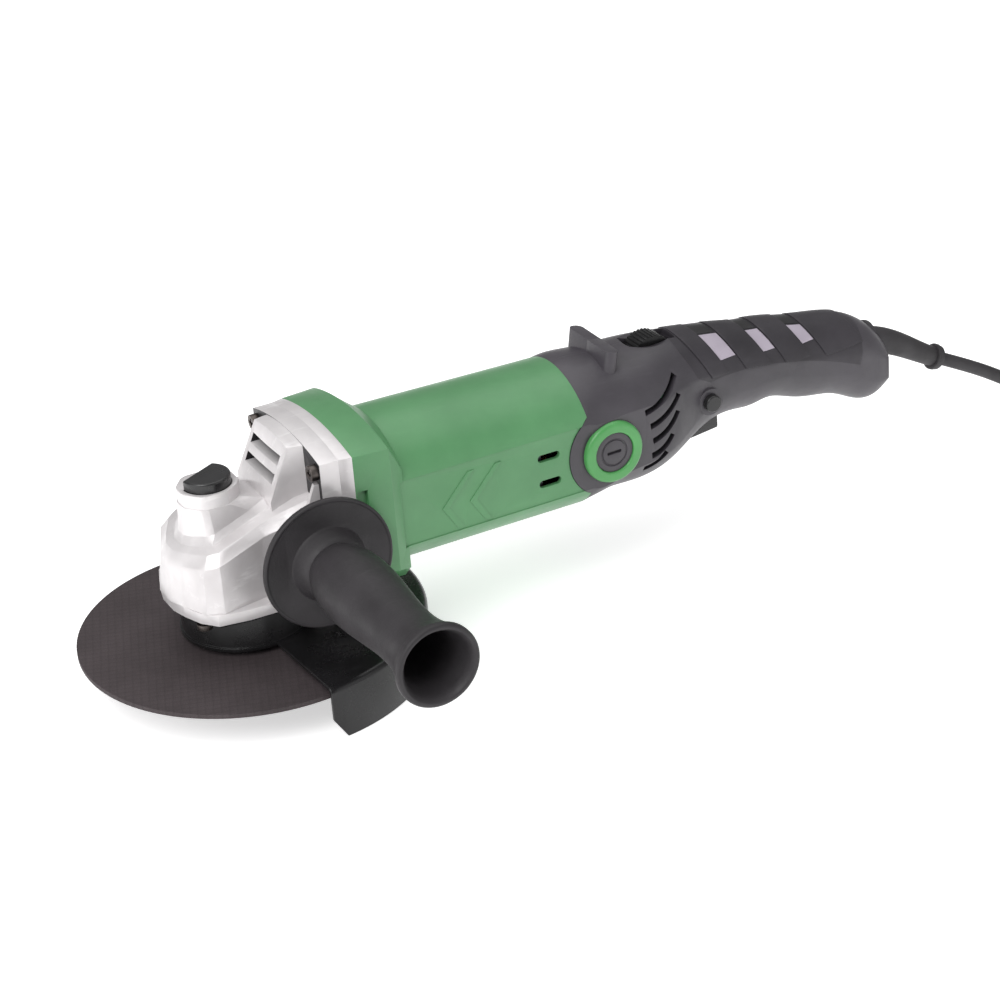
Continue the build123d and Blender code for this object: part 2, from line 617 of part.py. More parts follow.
# ---- motor -------------------------------------------------------------------------------
STATOR = (75.0, 60.0)               # front face and stack length
with BuildPart() as field_stator:
    with BuildSketch(on_motor(STATOR[0])):
        Circle(30.2)
        Rectangle(58.0, 80.0, mode=Mode.INTERSECT)
        Circle(CORE_R + 0.6, mode=Mode.SUBTRACT)
        with Locations((0, 23.6), (0, -23.6)):
            Rectangle(26.0, 7.0, mode=Mode.SUBTRACT)
    extrude(amount=STATOR[1])

with BuildPart() as field_windings:
    for side in (-1, 1):
        for x, length in ((STATOR[0] - 8.0, 8.0), (STATOR[0] + STATOR[1], 8.0)):
            with BuildSketch(on_motor(x)):
                with BuildLine():
                    a = radians(52.0)
                    outer, inner = 28.0, CORE_R + 1.2
                    ends = (pi / 2 - a, pi / 2, pi / 2 + a)
                    ThreePointArc(*((outer * cos(t), side * outer * sin(t)) for t in ends))
                    Line((outer * cos(ends[2]), side * outer * sin(ends[2])),
                         (inner * cos(ends[2]), side * inner * sin(ends[2])))
                    ThreePointArc(*((inner * cos(t), side * inner * sin(t)) for t in reversed(ends)))
                    Line((inner * cos(ends[0]), side * inner * sin(ends[0])),
                         (outer * cos(ends[0]), side * outer * sin(ends[0])))
                make_face()
            extrude(amount=length)
        with BuildSketch(on_motor(STATOR[0])):
            with Locations((0, side * 23.6)):
                Rectangle(24.0, 4.4)
        extrude(amount=STATOR[1])

REAR_BEARING_X = 186.0
REAR_BEARING = (11.0, 4.0, 7.0)
with BuildPart() as armature_shaft:
    with BuildSketch(on_motor(GEAR_TOE - 1.0)):
        Circle(SHAFT_R - 1)
    extrude(amount=29.9 - GEAR_TOE + 1.0)
    with BuildSketch(on_motor(29.9)):
        Circle(BEARING_12[1])
    extrude(amount=14.0)
    with BuildSketch(on_motor(43.9)):
        Circle(5.0)
    extrude(amount=REAR_BEARING_X - 3.0 - 43.9)
    with BuildSketch(on_motor(REAR_BEARING_X - 3.0)):
        Circle(SHAFT_R)
    extrude(amount=10.5)

with BuildPart() as armature_core:
    with BuildSketch(on_motor(STATOR[0] - 1.0)):
        Circle(CORE_R)
        Circle(5.0, mode=Mode.SUBTRACT)
        with PolarLocations(CORE_R - 0.5, 14):
            Rectangle(3.0, 1.8, mode=Mode.SUBTRACT)
    extrude(amount=STATOR[1] + 2.0)

with BuildPart() as armature_windings:
    for x, length in ((STATOR[0] - 8.0, 7.0), (STATOR[0] + STATOR[1] + 1.0, 9.0)):
        with BuildSketch(on_motor(x)):
            Circle(17.5)
            Circle(5.0, mode=Mode.SUBTRACT)
        extrude(amount=length)
    chamfer(armature_windings.edges().filter_by(GeomType.CIRCLE).filter_by(lambda e: e.radius > 10), 1.5)

with BuildPart() as commutator:
    with BuildSketch(on_motor(157.0)):
        Circle(COMMUTATOR_R)
        Circle(5.0, mode=Mode.SUBTRACT)
        with PolarLocations(COMMUTATOR_R, 28):
            Rectangle(2.0, 0.5, mode=Mode.SUBTRACT)
    extrude(amount=22.0)

FAN_X = 45.5
FAN_BLADES = 14
FAN_R = 26.0
with BuildPart() as cooling_fan:
    with BuildSketch(on_motor(FAN_X + 8.0)):
        Circle(FAN_R)
        Circle(5.0, mode=Mode.SUBTRACT)
    extrude(amount=2.0)
    with BuildSketch(on_motor(FAN_X)):
        Circle(9.0)
        Circle(5.0, mode=Mode.SUBTRACT)
    extrude(amount=8.0)
    with BuildSketch(on_motor(FAN_X + 1.0)):
        with PolarLocations(17.0, FAN_BLADES):
            Rectangle(16.0, 1.6, rotation=28)
    extrude(amount=7.0)

rear_bearing = ring(on_motor(REAR_BEARING_X), REAR_BEARING[0], REAR_BEARING[1] + FIT, REAR_BEARING[2])

# ---- brushes -----------------------------------------------------------------------------
BRUSH = (6.0, 10.0)
RING_OUT = 36.2
with BuildPart() as brush_holders:
    for side in (-1, 1):
        with BuildSketch(Plane(origin=(BRUSH_X, side * 14.6, MOTOR_Z), x_dir=(1, 0, 0), z_dir=(0, side, 0))):
            Rectangle(BRUSH[0] + 2.4, BRUSH[1] + 2.4)
            Rectangle(BRUSH[0], BRUSH[1], mode=Mode.SUBTRACT)
        extrude(amount=15.2)

with BuildPart() as carbon_brushes:
    for side in (-1, 1):
        with BuildSketch(Plane(origin=(BRUSH_X, side * (COMMUTATOR_R + FIT), MOTOR_Z), x_dir=(1, 0, 0),
                               z_dir=(0, side, 0))):
            Rectangle(*BRUSH)
        extrude(amount=9.0)

brush_springs = BuildPart()
with brush_springs:
    for side in (-1, 1):
        add(coil_spring(Plane(origin=(BRUSH_X, side * 22.1, MOTOR_Z), x_dir=(1, 0, 0), z_dir=(0, side, 0)),
                        2.3, 0.3, 5, 7.8).part)

with BuildPart() as brush_caps:
    for side in (-1, 1):
        base = Plane(origin=(BRUSH_X, side * 30.0, MOTOR_Z), x_dir=(1, 0, 0), z_dir=(0, side, 0))
        with BuildSketch(base):
            Circle(9.4)
        extrude(amount=5.2)
        with BuildSketch(base.offset(5.2)):
            Circle(6.6)
            Circle(5.8, mode=Mode.SUBTRACT)
        extrude(amount=-0.6, mode=Mode.SUBTRACT)
        with BuildSketch(base.offset(5.2)):
            Rectangle(7.0, 1.3)
        extrude(amount=-1.6, mode=Mode.SUBTRACT)

with BuildPart() as brush_cap_rings:
    for side in (-1, 1):
        base = Plane(origin=(BRUSH_X, side * 30.0, MOTOR_Z), x_dir=(1, 0, 0), z_dir=(0, side, 0))
        with BuildSketch(base):
            Circle(14.6)
            Circle(9.5, mode=Mode.SUBTRACT)
        extrude(amount=RING_OUT - 30.0)
    outer_rims = brush_cap_rings.edges().filter_by(GeomType.CIRCLE).filter_by(lambda e: e.radius > 14)
    chamfer(outer_rims.filter_by(lambda e: abs(e.center().Y) > 35), 1.2)

# ---- rear housing and handle -------------------------------------------------------------
# x, half width, flat from, flat to, belly and crown of each section behind the motor
TAIL_SECTIONS = (
    (MOTOR_END, BODY_HALF, PANEL_LOW, PANEL_HIGH, BELLY_Z, CROWN_REAR),
    (178.0, 33.0, 35.0, 64.0, 18.0, 82.3),
    (194.0, 31.6, 36.5, 63.5, 17.8, 82.0),
    (208.0, 28.0, 40.0, 63.5, 21.5, 81.6),
    (221.0, 23.4, 46.0, 64.0, 28.0, 80.4),
    (236.0, 20.6, 50.5, 62.5, 34.0, 78.6),
    (256.0, 19.6, 50.5, 58.5, 34.2, 75.0),
    (280.0, 19.2, 47.8, 55.8, 31.6, 71.2),
    (300.0, 18.8, 43.4, 52.0, 27.6, 67.6),
    (312.0, 18.2, 38.0, 49.0, 22.6, 64.8),
    (320.0, 17.2, 33.4, 46.0, 19.4, 61.0),
    (326.5, 15.8, 31.5, 43.5, 20.6, 56.0),
    (331.0, 13.8, 31.0, 41.5, 24.0, 50.4),
)


def tail_sections(inset, first=0, last=None):
    return [arched(x, half, low, high, belly, crown, inset)
            for x, half, low, high, belly, crown in TAIL_SECTIONS[first:last]]


def tail_solid(inset):
    """Solid tail body, drawn in by inset."""
    with BuildPart() as body:
        loft([motor_section(RING_FRONT, inset), motor_section(MOTOR_END, inset)], ruled=True)
        loft(tail_sections(inset))
    return body


RING_FRONT = BRUSH_X - RING_CUT_R
SKIN_T = 2.0
tail_outer = tail_solid(0.0)
with BuildPart() as tail_inner:
    loft([motor_section(RING_FRONT, WALL), motor_section(MOTOR_END, WALL)], ruled=True)
    loft([arched(x, half, low, high, belly, crown, WALL + 1.6)
          for x, half, low, high, belly, crown in TAIL_SECTIONS[:-1]])

with BuildPart() as skin_core:
    loft(tail_sections(SKIN_T, 3))

# the soft grip covers the handle above a seam that rises behind the shoulder
with BuildPart() as grip_zone:
    with BuildSketch(beside(0)):
        with BuildLine():
            Polyline((214.5, 90.0), (216.0, 76.0), (220.5, 65.0), (228.0, 60.5))
            Spline((228.0, 60.5), (250.0, 60.8), (275.0, 57.0), (300.0, 49.5), (312.0, 44.5))
            Polyline((312.0, 44.5), (316.0, 60.0), (318.0, 90.0), (214.5, 90.0))
        make_face()
    extrude(amount=40.0, both=True)

VENTS = (
    ((187.0, 61.0), (197.0, 63.8), (208.0, 71.0)),
    ((189.5, 53.5), (199.0, 56.5), (207.0, 63.5)),
    ((190.5, 46.0), (199.0, 48.8), (206.0, 55.5)),
    ((189.5, 39.0), (196.0, 40.6), (202.0, 45.5)),
    ((185.5, 33.2), (191.5, 34.2), (198.0, 38.2)),
)
DIAL_X = 207.5
DIAL_Z = 72.2
DIAL_R = 11.0
DIAL_HALF = 5.5
LOCK_ON_X = 226.4
LOCK_ON_Z = 51.9
LOCK_ON_R = 4.0
TRIGGER_HALF = 9.0
TRIGGER_PIVOT = (215.0, 34.0)
CLAM_SCREWS = ((179.0, 27.0, 14.0), (179.0, 72.0, 14.0), (266.0, 43.5, 10.0), (298.0, 35.5, 9.0), (317.0, 28.5, 8.0))
POST_R = 3.6
CLAM_SHANK_R = 1.6
LEFT_SEAT = 12.0        # how far the clamshell screws reach into the left half


def along_y(x, z, y_start, direction):
    return Plane(origin=(x, y_start, z), x_dir=(1, 0, 0), z_dir=(0, direction, 0))


# inside wall that carries the rear bearing
with BuildPart() as bearing_wall:
    with BuildSketch(on_motor(REAR_BEARING_X)):
        Rectangle(90.0, 90.0)
        Circle(REAR_BEARING[0], mode=Mode.SUBTRACT)
    extrude(amount=REAR_BEARING[2])
    add(tail_outer.part, mode=Mode.INTERSECT)

with BuildPart() as screw_posts:
    for x, z, seat in CLAM_SCREWS:
        with BuildSketch(along_y(x, z, -LEFT_SEAT - 3.0, 1)):
            Circle(POST_R)
        extrude(amount=LEFT_SEAT + 3.0 + seat)
        with BuildSketch(along_y(x, z, seat - 4.0, 1)):
            Circle(POST_R + 1.4)
        extrude(amount=30.0)
        for side in (-1, 1):
            with BuildSketch(along_y(x, z, side * LEFT_SEAT, side)):
                Circle(POST_R)
            extrude(amount=20.0)
    add(tail_outer.part, mode=Mode.INTERSECT)

# only the round tongues around the brush caps reach forward over the motor housing
with BuildPart() as front_waste:
    with BuildSketch(beside(0)):
        with Locations(((RING_FRONT + MOTOR_END) / 2 - 1.0, MOTOR_Z)):
            Rectangle(MOTOR_END - RING_FRONT + 2.0, 100.0)
        with Locations((BRUSH_X, MOTOR_Z)):
            Circle(RING_CUT_R - 0.15, mode=Mode.SUBTRACT)
    extrude(amount=60.0, both=True)

# slot and dished recess of the speed dial
with BuildPart() as dial_recess:
    with BuildSketch(level(58.0)):
        with Locations((DIAL_X, 0)):
            Rectangle(2 * DIAL_R + 1.6, 2 * DIAL_HALF + 1.0)
    extrude(amount=40.0)
    with Locations((DIAL_X, 0, 81.6 + 27.0)):
        Sphere(30.0)

with BuildPart() as grip_overmould:
    add(tail_outer.part)
    add(skin_core.part, mode=Mode.SUBTRACT)
    add(grip_zone.part, mode=Mode.INTERSECT)
    add(dial_recess.part, mode=Mode.SUBTRACT)

with BuildPart() as openings:
    with BuildSketch(BRUSH_PLANE):
        Circle(14.6)
    extrude(amount=60.0, both=True)
    for side in (-1, 1):
        for start, knee, end in VENTS:
            with BuildSketch(beside(side * 16.0)):
                with BuildLine():
                    ThreePointArc(start, knee, end)
                trace(line_width=3.0)
            extrude(amount=side * -30.0)
    add(dial_recess.part)
    # trigger slot, and the hole of the lock-on button
    with BuildSketch(level(5.0)):
        with Locations((223.6, 0)):
            Rectangle(31.6, 2 * TRIGGER_HALF + 1.0)
    extrude(amount=38.5)
    with BuildSketch(along_y(LOCK_ON_X, LOCK_ON_Z, -10.0, -1)):
        Circle(LOCK_ON_R + FIT)
    extrude(amount=30.0)
    with BuildSketch(along_y(*TRIGGER_PIVOT, -12.0, 1)):
        Circle(1.5)
    extrude(amount=24.0)
    for x, z, seat in CLAM_SCREWS:
        with BuildSketch(along_y(x, z, seat, 1)):
            Circle(3.5)
        extrude(amount=30.0)
        with BuildSketch(along_y(x, z, -LEFT_SEAT, 1)):
            Circle(CLAM_SHANK_R)
        extrude(amount=LEFT_SEAT + seat)

# x, z, pitch in degrees and radius of the strain relief's sections
RELIEF = (
    (324.5, 46.8, -12.0, 7.0), (338.0, 43.2, -25.0, 6.3), (353.0, 35.0, -31.0, 5.4), (368.6, 25.9, -27.0, 4.8),
)



def relief_plane(x, z, pitch):
    return Plane(origin=(x, 0, z), x_dir=(0, 1, 0), z_dir=(cos(radians(pitch)), 0, sin(radians(pitch))))


with BuildPart() as strain_relief:
    relief_sections = []
    for x, z, pitch, radius in RELIEF:
        with BuildSketch(relief_plane(x, z, pitch), mode=Mode.PRIVATE) as relief_section:
            Circle(radius)
        relief_sections.append(relief_section.sketch)
    loft(relief_sections)
    with BuildSketch(relief_plane(*RELIEF[0][:3])):
        Circle(10.0)
    extrude(amount=2.6)
    with BuildSketch(relief_plane(*RELIEF[-1][:3])):
        Circle(6.0)
    extrude(amount=-2.4)

with BuildPart() as rear_shell:
    add(tail_outer.part)
    add(tail_inner.part, mode=Mode.SUBTRACT)
    add(bearing_wall.part)
    add(screw_posts.part)
    # raised collar of the lock-on button, and the finger stop across the top
    with BuildSketch(along_y(LOCK_ON_X, LOCK_ON_Z, -14.0, -1)):
        Circle(6.4)
    extrude(amount=9.6)
    with BuildSketch(Plane(origin=(178.5, 0, 74.0), x_dir=(0, 1, 0), z_dir=(0.16, 0, 1))):
        SlotOverall(37.0, 6.6)
    extrude(amount=13.6)
    add(front_waste.part, mode=Mode.SUBTRACT)
    add(grip_overmould.part, mode=Mode.SUBTRACT)
    add(openings.part, mode=Mode.SUBTRACT)
    add(strain_relief.part, mode=Mode.SUBTRACT)

with BuildPart() as rear_housing_left:
    add(rear_shell.part)
    split(bisect_by=Plane.XZ, keep=Keep.TOP)

with BuildPart() as rear_housing_right:
    add(rear_shell.part)
    split(bisect_by=Plane.XZ, keep=Keep.BOTTOM)

with BuildPart() as housing_screws:
    for x, z, seat in CLAM_SCREWS:
        with BuildSketch(along_y(x, z, -LEFT_SEAT, 1)):
            Circle(CLAM_SHANK_R)
        extrude(amount=LEFT_SEAT + seat)
        with BuildSketch(along_y(x, z, seat, 1)):
            Circle(3.2)
        extrude(amount=2.4)
        with BuildSketch(along_y(x, z, seat + 2.4, -1)):
            Rectangle(4.0, 0.9)
            Rectangle(0.9, 4.0)
        extrude(amount=1.4, mode=Mode.SUBTRACT)

# ---- controls ----------------------------------------------------------------------------
with BuildPart() as speed_dial:
    with BuildSketch(along_y(DIAL_X, DIAL_Z, -DIAL_HALF, 1)):
        Circle(DIAL_R)
        with PolarLocations(DIAL_R, 36):
            Circle(0.45, mode=Mode.SUBTRACT)
        Circle(2.0 + FIT, mode=Mode.SUBTRACT)
    extrude(amount=2 * DIAL_HALF)

with BuildPart() as speed_board:
    with BuildSketch(level(56.6)):
        with Locations((206.5, 0)):
            Rectangle(21.0, 30.0)
    extrude(amount=1.6)
    for side in (-1, 1):
        with BuildSketch(level(58.2)):
            with Locations((DIAL_X, side * 8.4)):
                Rectangle(9.0, 2.4)
        extrude(amount=17.0)
    with BuildSketch(along_y(DIAL_X, DIAL_Z, -8.4, 1)):
        Circle(2.0)
    extrude(amount=16.8)

with BuildPart() as trigger:
    with BuildSketch(beside(0)):
        Polygon((210.4, 31.0), (211.8, 25.4), (214.6, 25.8), (218.2, 28.0), (227.0, 28.9), (238.2, 30.2),
                (238.2, 40.4), (226.0, 41.0), (215.0, 39.0), (211.0, 35.6), align=None)
    extrude(amount=TRIGGER_HALF, both=True)
    fillet(trigger.edges().filter_by(Axis.Y).filter_by(lambda e: e.center().Z < 30.5), radius=0.9)
    with BuildSketch(along_y(*TRIGGER_PIVOT, -20.0, 1)):
        Circle(1.5 + FIT)
    extrude(amount=40.0, mode=Mode.SUBTRACT)

with BuildPart() as trigger_pin:
    with BuildSketch(along_y(*TRIGGER_PIVOT, -12.0, 1)):
        Circle(1.5)
    extrude(amount=24.0)

with BuildPart() as lock_on_button:
    with BuildSketch(along_y(LOCK_ON_X, LOCK_ON_Z, -12.5, -1)):
        Circle(LOCK_ON_R)
    extrude(amount=14.2)
    fillet(lock_on_button.faces().sort_by(Axis.Y)[0].edges(), radius=0.8)

with BuildPart() as switch_module:
    with BuildSketch(level(44.6)):
        with Locations((239.0, 0)):
            Rectangle(42.0, 16.0)
    extrude(amount=17.0)
    chamfer(switch_module.edges().filter_by(Axis.Z), 1.0)
    with BuildSketch(level(61.6)):
        with Locations((226.0, -4.0), (226.0, 4.0), (252.0, -4.0), (252.0, 4.0)):
            Rectangle(5.0, 1.0)
    extrude(amount=4.0)

with BuildPart() as capacitor:
    with BuildSketch(level(44.0)):
        with Locations((283.0, 0)):
            RectangleRounded(20.0, 11.0, 1.5)
    extrude(amount=12.0)

with BuildPart() as cord_clamp:
    with BuildSketch(level(50.0)):
        with Locations((308.0, 0)):
            Rectangle(8.0, 22.0)
    extrude(amount=3.0)
    with BuildSketch(level(53.0)):
        with Locations((308.0, 0)):
            Rectangle(8.0, 8.0)
    extrude(amount=1.5)
    with BuildSketch(level(40.0)):
        with Locations((308.0, -8.5), (308.0, 8.5)):
            Circle(1.5)
    extrude(amount=10.0)

# ---- mains lead --------------------------------------------------------------------------
CORD_REST_Z = FLOOR_Z + CORD_R
EXIT = Vector(RELIEF[-1][0], 0, RELIEF[-1][1])
COIL_X = 482.0
COIL_Y = -3.0
COIL_MEAN_R = 36.0
COIL_HALF = 3 * CORD_R              # three turns side by side
COIL_TALL = 22.2                    # each ring of turns climbs or sinks by a diameter a turn
LEAD = (
    (EXIT.X, 0.0, EXIT.Z), (388.5, -0.6, 16.0), (408.0, -4.2, 4.5), (426.0, -11.0, -8.0),
    (443.5, -22.5, -15.6), (457.0, -37.0, CORD_REST_Z),
)
PLUG_LEAD = (
    (503.3, -39.8, FLOOR_Z + COIL_TALL + CORD_R), (520.5, -31.0, 1.0), (532.0, -15.0, -3.8),
    (535.0, 5.0, -7.4),
)


def corner_radii(points):
    """Largest arc at each corner that leaves a tenth of the shorter run straight."""
    radii = []
    for before, corner, after in zip(points, points[1:], points[2:]):
        arriving = Vector(*corner) - Vector(*before)
        leaving = Vector(*after) - Vector(*corner)
        half_turn = radians(arriving.get_angle(leaving)) / 2
        radii.append(0.45 * min(arriving.length, leaving.length) / tan(half_turn))
    return radii


def cord_run(points):
    """Tube of straight runs joined by tangent arcs."""
    radii = corner_radii(points)
    print("cord radii", [round(radius, 1) for radius in radii])
    with BuildPart() as tube:
        with BuildLine() as path:
            FilletPolyline(*points, radius=radii)
        wire = path.wires()[0]
        with BuildSketch(Plane(origin=wire @ 0, z_dir=wire % 0)):
            Circle(CORD_R)
        sweep(path=wire)
    expected = pi * CORD_R ** 2 * wire.length
    print("cord run", round(wire.length, 1), "volume", round(tube.part.volume), "expected", round(expected))
    return tube


lead_run = cord_run(LEAD)
plug_run = cord_run(PLUG_LEAD)
with BuildPart() as cord_tube:
    add(lead_run.part)
    add(plug_run.part)

with BuildPart() as cord_coil:
    with BuildSketch(level(FLOOR_Z)):
        with Locations((COIL_X, COIL_Y)):
            Circle(COIL_MEAN_R + COIL_HALF)
            Circle(COIL_MEAN_R - COIL_HALF, mode=Mode.SUBTRACT)
    extrude(amount=COIL_TALL)
    fillet(cord_coil.edges().filter_by(GeomType.CIRCLE), radius=CORD_R - 0.2)

PLUG_X = PLUG_LEAD[-1][0]
PLUG_Y = PLUG_LEAD[-1][1]
PLUG_Z = PLUG_LEAD[-1][2]
PLUG_RELIEF = 20.0
PLUG_LENGTH = 36.0
PIN_R = 2.4
PIN_ROOT_R = 1.9
PIN_LENGTH = 19.0
PIN_HALF_SPACING = 9.5
PLUG_PLANE = Plane(origin=(PLUG_X, PLUG_Y, PLUG_Z), x_dir=(1, 0, 0), z_dir=(0, 1, 0))
with BuildPart() as plug_body:
    with BuildSketch(PLUG_PLANE):
        Circle(4.4)
    with BuildSketch(PLUG_PLANE.offset(PLUG_RELIEF)):
        Circle(6.2)
    loft(ruled=True)
    with BuildSketch(PLUG_PLANE.offset(PLUG_RELIEF)):
        RectangleRounded(17.0, 15.0, 5.0)
    with BuildSketch(PLUG_PLANE.offset(PLUG_RELIEF + PLUG_LENGTH - 14.0)):
        RectangleRounded(35.0, 26.0, 9.0)
    loft(ruled=True)
    with BuildSketch(PLUG_PLANE.offset(PLUG_RELIEF + PLUG_LENGTH - 14.0)):
        RectangleRounded(35.0, 26.0, 9.0)
    extrude(amount=14.0)
    with BuildSketch(PLUG_PLANE.offset(PLUG_RELIEF + PLUG_LENGTH - 10.0)):
        with Locations((-PIN_HALF_SPACING, 0), (PIN_HALF_SPACING, 0)):
            Circle(PIN_ROOT_R)
    extrude(amount=10.0, mode=Mode.SUBTRACT)

with BuildPart() as plug_pins:
    with BuildSketch(PLUG_PLANE.offset(PLUG_RELIEF + PLUG_LENGTH - 10.0)):
        with Locations((-PIN_HALF_SPACING, 0), (PIN_HALF_SPACING, 0)):
            Circle(PIN_ROOT_R)
    extrude(amount=10.0)
    with BuildSketch(PLUG_PLANE.offset(PLUG_RELIEF + PLUG_LENGTH)):
        with Locations((-PIN_HALF_SPACING, 0), (PIN_HALF_SPACING, 0)):
            Circle(PIN_R)
    extrude(amount=PIN_LENGTH)
    chamfer(plug_pins.faces().sort_by(Axis.Y)[-2:].edges(), 0.8)

# ---- saving ------------------------------------------------------------------------------
PIECES = {
    "gear_housing": head, "bearing_plate": bearing_plate, "spindle_cover": spindle_cover,
    "head_screws": head_screws, "cover_screws": cover_screws, "spindle_bearing": spindle_bearing,
    "needle_bearing": needle_bearing, "front_bearing": front_bearing, "rear_bearing": rear_bearing,
    "spindle_lock_button": spindle_lock_button, "lock_spring": lock_spring,
    "spindle": spindle, "drive_gear": drive_gear, "inner_flange": inner_flange,
    "cutting_disc": cutting_disc, "lock_nut": lock_nut,
    "guard_shell": guard_turned, "guard_collar": guard_collar, "guard_screw": guard_screw,
    "side_handle": side_handle, "handle_flange": handle_flange, "handle_stud": handle_stud,
    "motor_housing": motor_housing, "fan_baffle": fan_baffle, "field_stator": field_stator,
    "field_windings": field_windings, "armature_shaft": armature_shaft, "armature_core": armature_core,
    "armature_windings": armature_windings, "commutator": commutator, "cooling_fan": cooling_fan,
    "drive_pinion": drive_pinion, "brush_holders": brush_holders, "carbon_brushes": carbon_brushes,
    "brush_springs": brush_springs, "brush_caps": brush_caps, "brush_cap_rings": brush_cap_rings,
    "rear_housing_left": rear_housing_left, "rear_housing_right": rear_housing_right,
    "grip_overmould": grip_overmould, "housing_screws": housing_screws, "speed_dial": speed_dial,
    "speed_board": speed_board, "trigger": trigger, "trigger_pin": trigger_pin,
    "lock_on_button": lock_on_button, "switch_module": switch_module, "capacitor": capacitor,
    "cord_clamp": cord_clamp, "strain_relief": strain_relief, "cord_tube": cord_tube,
    "cord_coil": cord_coil, "plug_body": plug_body, "plug_pins": plug_pins,
}
for name, piece in PIECES.items():
    save(piece, name)
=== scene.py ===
import json
import math

import bpy
from mathutils import Matrix, Vector


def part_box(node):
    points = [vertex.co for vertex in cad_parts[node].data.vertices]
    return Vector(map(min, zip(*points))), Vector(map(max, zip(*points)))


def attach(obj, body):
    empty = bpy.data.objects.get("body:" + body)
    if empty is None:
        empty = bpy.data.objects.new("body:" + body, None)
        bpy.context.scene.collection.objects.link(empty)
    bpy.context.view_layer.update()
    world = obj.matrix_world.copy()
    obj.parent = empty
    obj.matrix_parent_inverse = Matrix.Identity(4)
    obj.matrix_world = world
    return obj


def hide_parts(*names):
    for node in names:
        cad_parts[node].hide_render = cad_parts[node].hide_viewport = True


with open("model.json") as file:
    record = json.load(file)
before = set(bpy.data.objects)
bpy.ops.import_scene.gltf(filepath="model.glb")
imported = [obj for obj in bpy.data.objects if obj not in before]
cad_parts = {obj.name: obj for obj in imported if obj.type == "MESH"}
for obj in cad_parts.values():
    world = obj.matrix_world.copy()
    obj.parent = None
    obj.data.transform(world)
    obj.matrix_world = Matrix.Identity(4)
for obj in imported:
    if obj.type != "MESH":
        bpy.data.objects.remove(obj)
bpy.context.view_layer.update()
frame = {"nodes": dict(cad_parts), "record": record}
nodes = frame["nodes"]
MM = 0.001
FLOOR_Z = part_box("guard_shell")[0].z    # the tool rests on its guard
CORD_R = 3.25 * MM
SMOOTH_ANGLE = math.radians(34.0)       # edges sharper than this stay sharp on the shells
RING_SMOOTH_ANGLE = math.radians(40.0)  # the same on rings and thin skins


# ---- camera ------------------------------------------------------------------------------
def set_camera():
    """Long lens looking down on the left front of the grinder."""
    data = bpy.data.cameras.new("camera")
    data.lens = 100.8
    data.sensor_width = 36.0
    data.clip_start = 0.05
    data.clip_end = 30.0
    camera = bpy.data.objects.new("camera", data)
    turn = Matrix.Rotation(math.radians(-25.87), 4, "Z")
    dip = Matrix.Rotation(math.radians(90.0 - 27.30), 4, "X")
    roll = Matrix.Rotation(math.radians(-4.70), 4, "Z")
    camera.matrix_world = Matrix.Translation((-0.3638, -1.0132, 0.6033)) @ turn @ dip @ roll
    bpy.context.scene.collection.objects.link(camera)
    bpy.context.scene.camera = camera


set_camera()

# ---- mains lead --------------------------------------------------------------------------
REST = (FLOOR_Z + CORD_R) / MM      # height of the lead's middle where it lies on the floor
LEAD = (
    (368.6, 0.0, 25.9), (388.5, -0.6, 16.0), (408.0, -4.2, 4.5), (426.0, -11.0, -8.0),
    (443.5, -22.5, -15.6), (457.0, -37.0, REST),
)
PLUG_LEAD = ((520.5, -31.0, 1.0), (532.0, -15.0, -3.8), (535.0, 5.0, -7.4))
COIL_CENTRE = (482.0, -3.0)
RING_RADII = (42.5, 36.0, 29.5)     # middle of the outer, middle and inner ring of turns
TURN_RISE = 6.6                     # climb of a ring's turns, a little over the lead's diameter
RING_TURNS = 2.378                  # turns in each ring before the lead steps to the next
STEP_TURNS = 0.25
LAST_RISE = 0.25                    # part turn that lifts the end over the two outer rings
LAST_STEP = 0.30                    # part turn that carries it outwards across them
COIL_START = math.radians(233.7)
TURN_POINTS = 16                    # route points in each turn


def ease(share):
    """Smooth step from 0 to 1."""
    share = min(max(share, 0.0), 1.0)
    return share * share * (3.0 - 2.0 * share)


def coil_place(turns):
    """Radius and height of the coil's line after a number of turns."""
    outer, middle, inner = RING_RADII
    first_step = RING_TURNS
    second_step = first_step + STEP_TURNS + RING_TURNS
    rise_start = second_step + STEP_TURNS + RING_TURNS
    radius = outer + (middle - outer) * ease((turns - first_step) / STEP_TURNS)
    radius += (inner - middle) * ease((turns - second_step) / STEP_TURNS)
    radius += (outer - inner) * ease((turns - rise_start - LAST_RISE) / LAST_STEP)
    climb = min(turns, first_step)
    climb -= min(max(turns - first_step - STEP_TURNS, 0.0), RING_TURNS)
    climb += min(max(turns - second_step - STEP_TURNS, 0.0), RING_TURNS)
    height = climb * TURN_RISE + (2.0 * CORD_R / MM + 0.6) * ease((turns - rise_start) / LAST_RISE)
    return radius, height


def coil_points():
    """Route points round the coil."""
    total = 3 * RING_TURNS + 2 * STEP_TURNS + LAST_RISE + LAST_STEP
    count = round(total * TURN_POINTS)
    points = []
    for step in range(1, count + 1):
        turns = total * step / count
        radius, height = coil_place(turns)
        angle = COIL_START + turns * 2.0 * math.pi
        # a control point stands a little outside the circle that the line follows
        radius *= 1.0 / math.cos(math.pi / TURN_POINTS) ** 0.5
        points.append((
            COIL_CENTRE[0] + radius * math.cos(angle),
            COIL_CENTRE[1] + radius * math.sin(angle),
            REST + height,
        ))
    return points


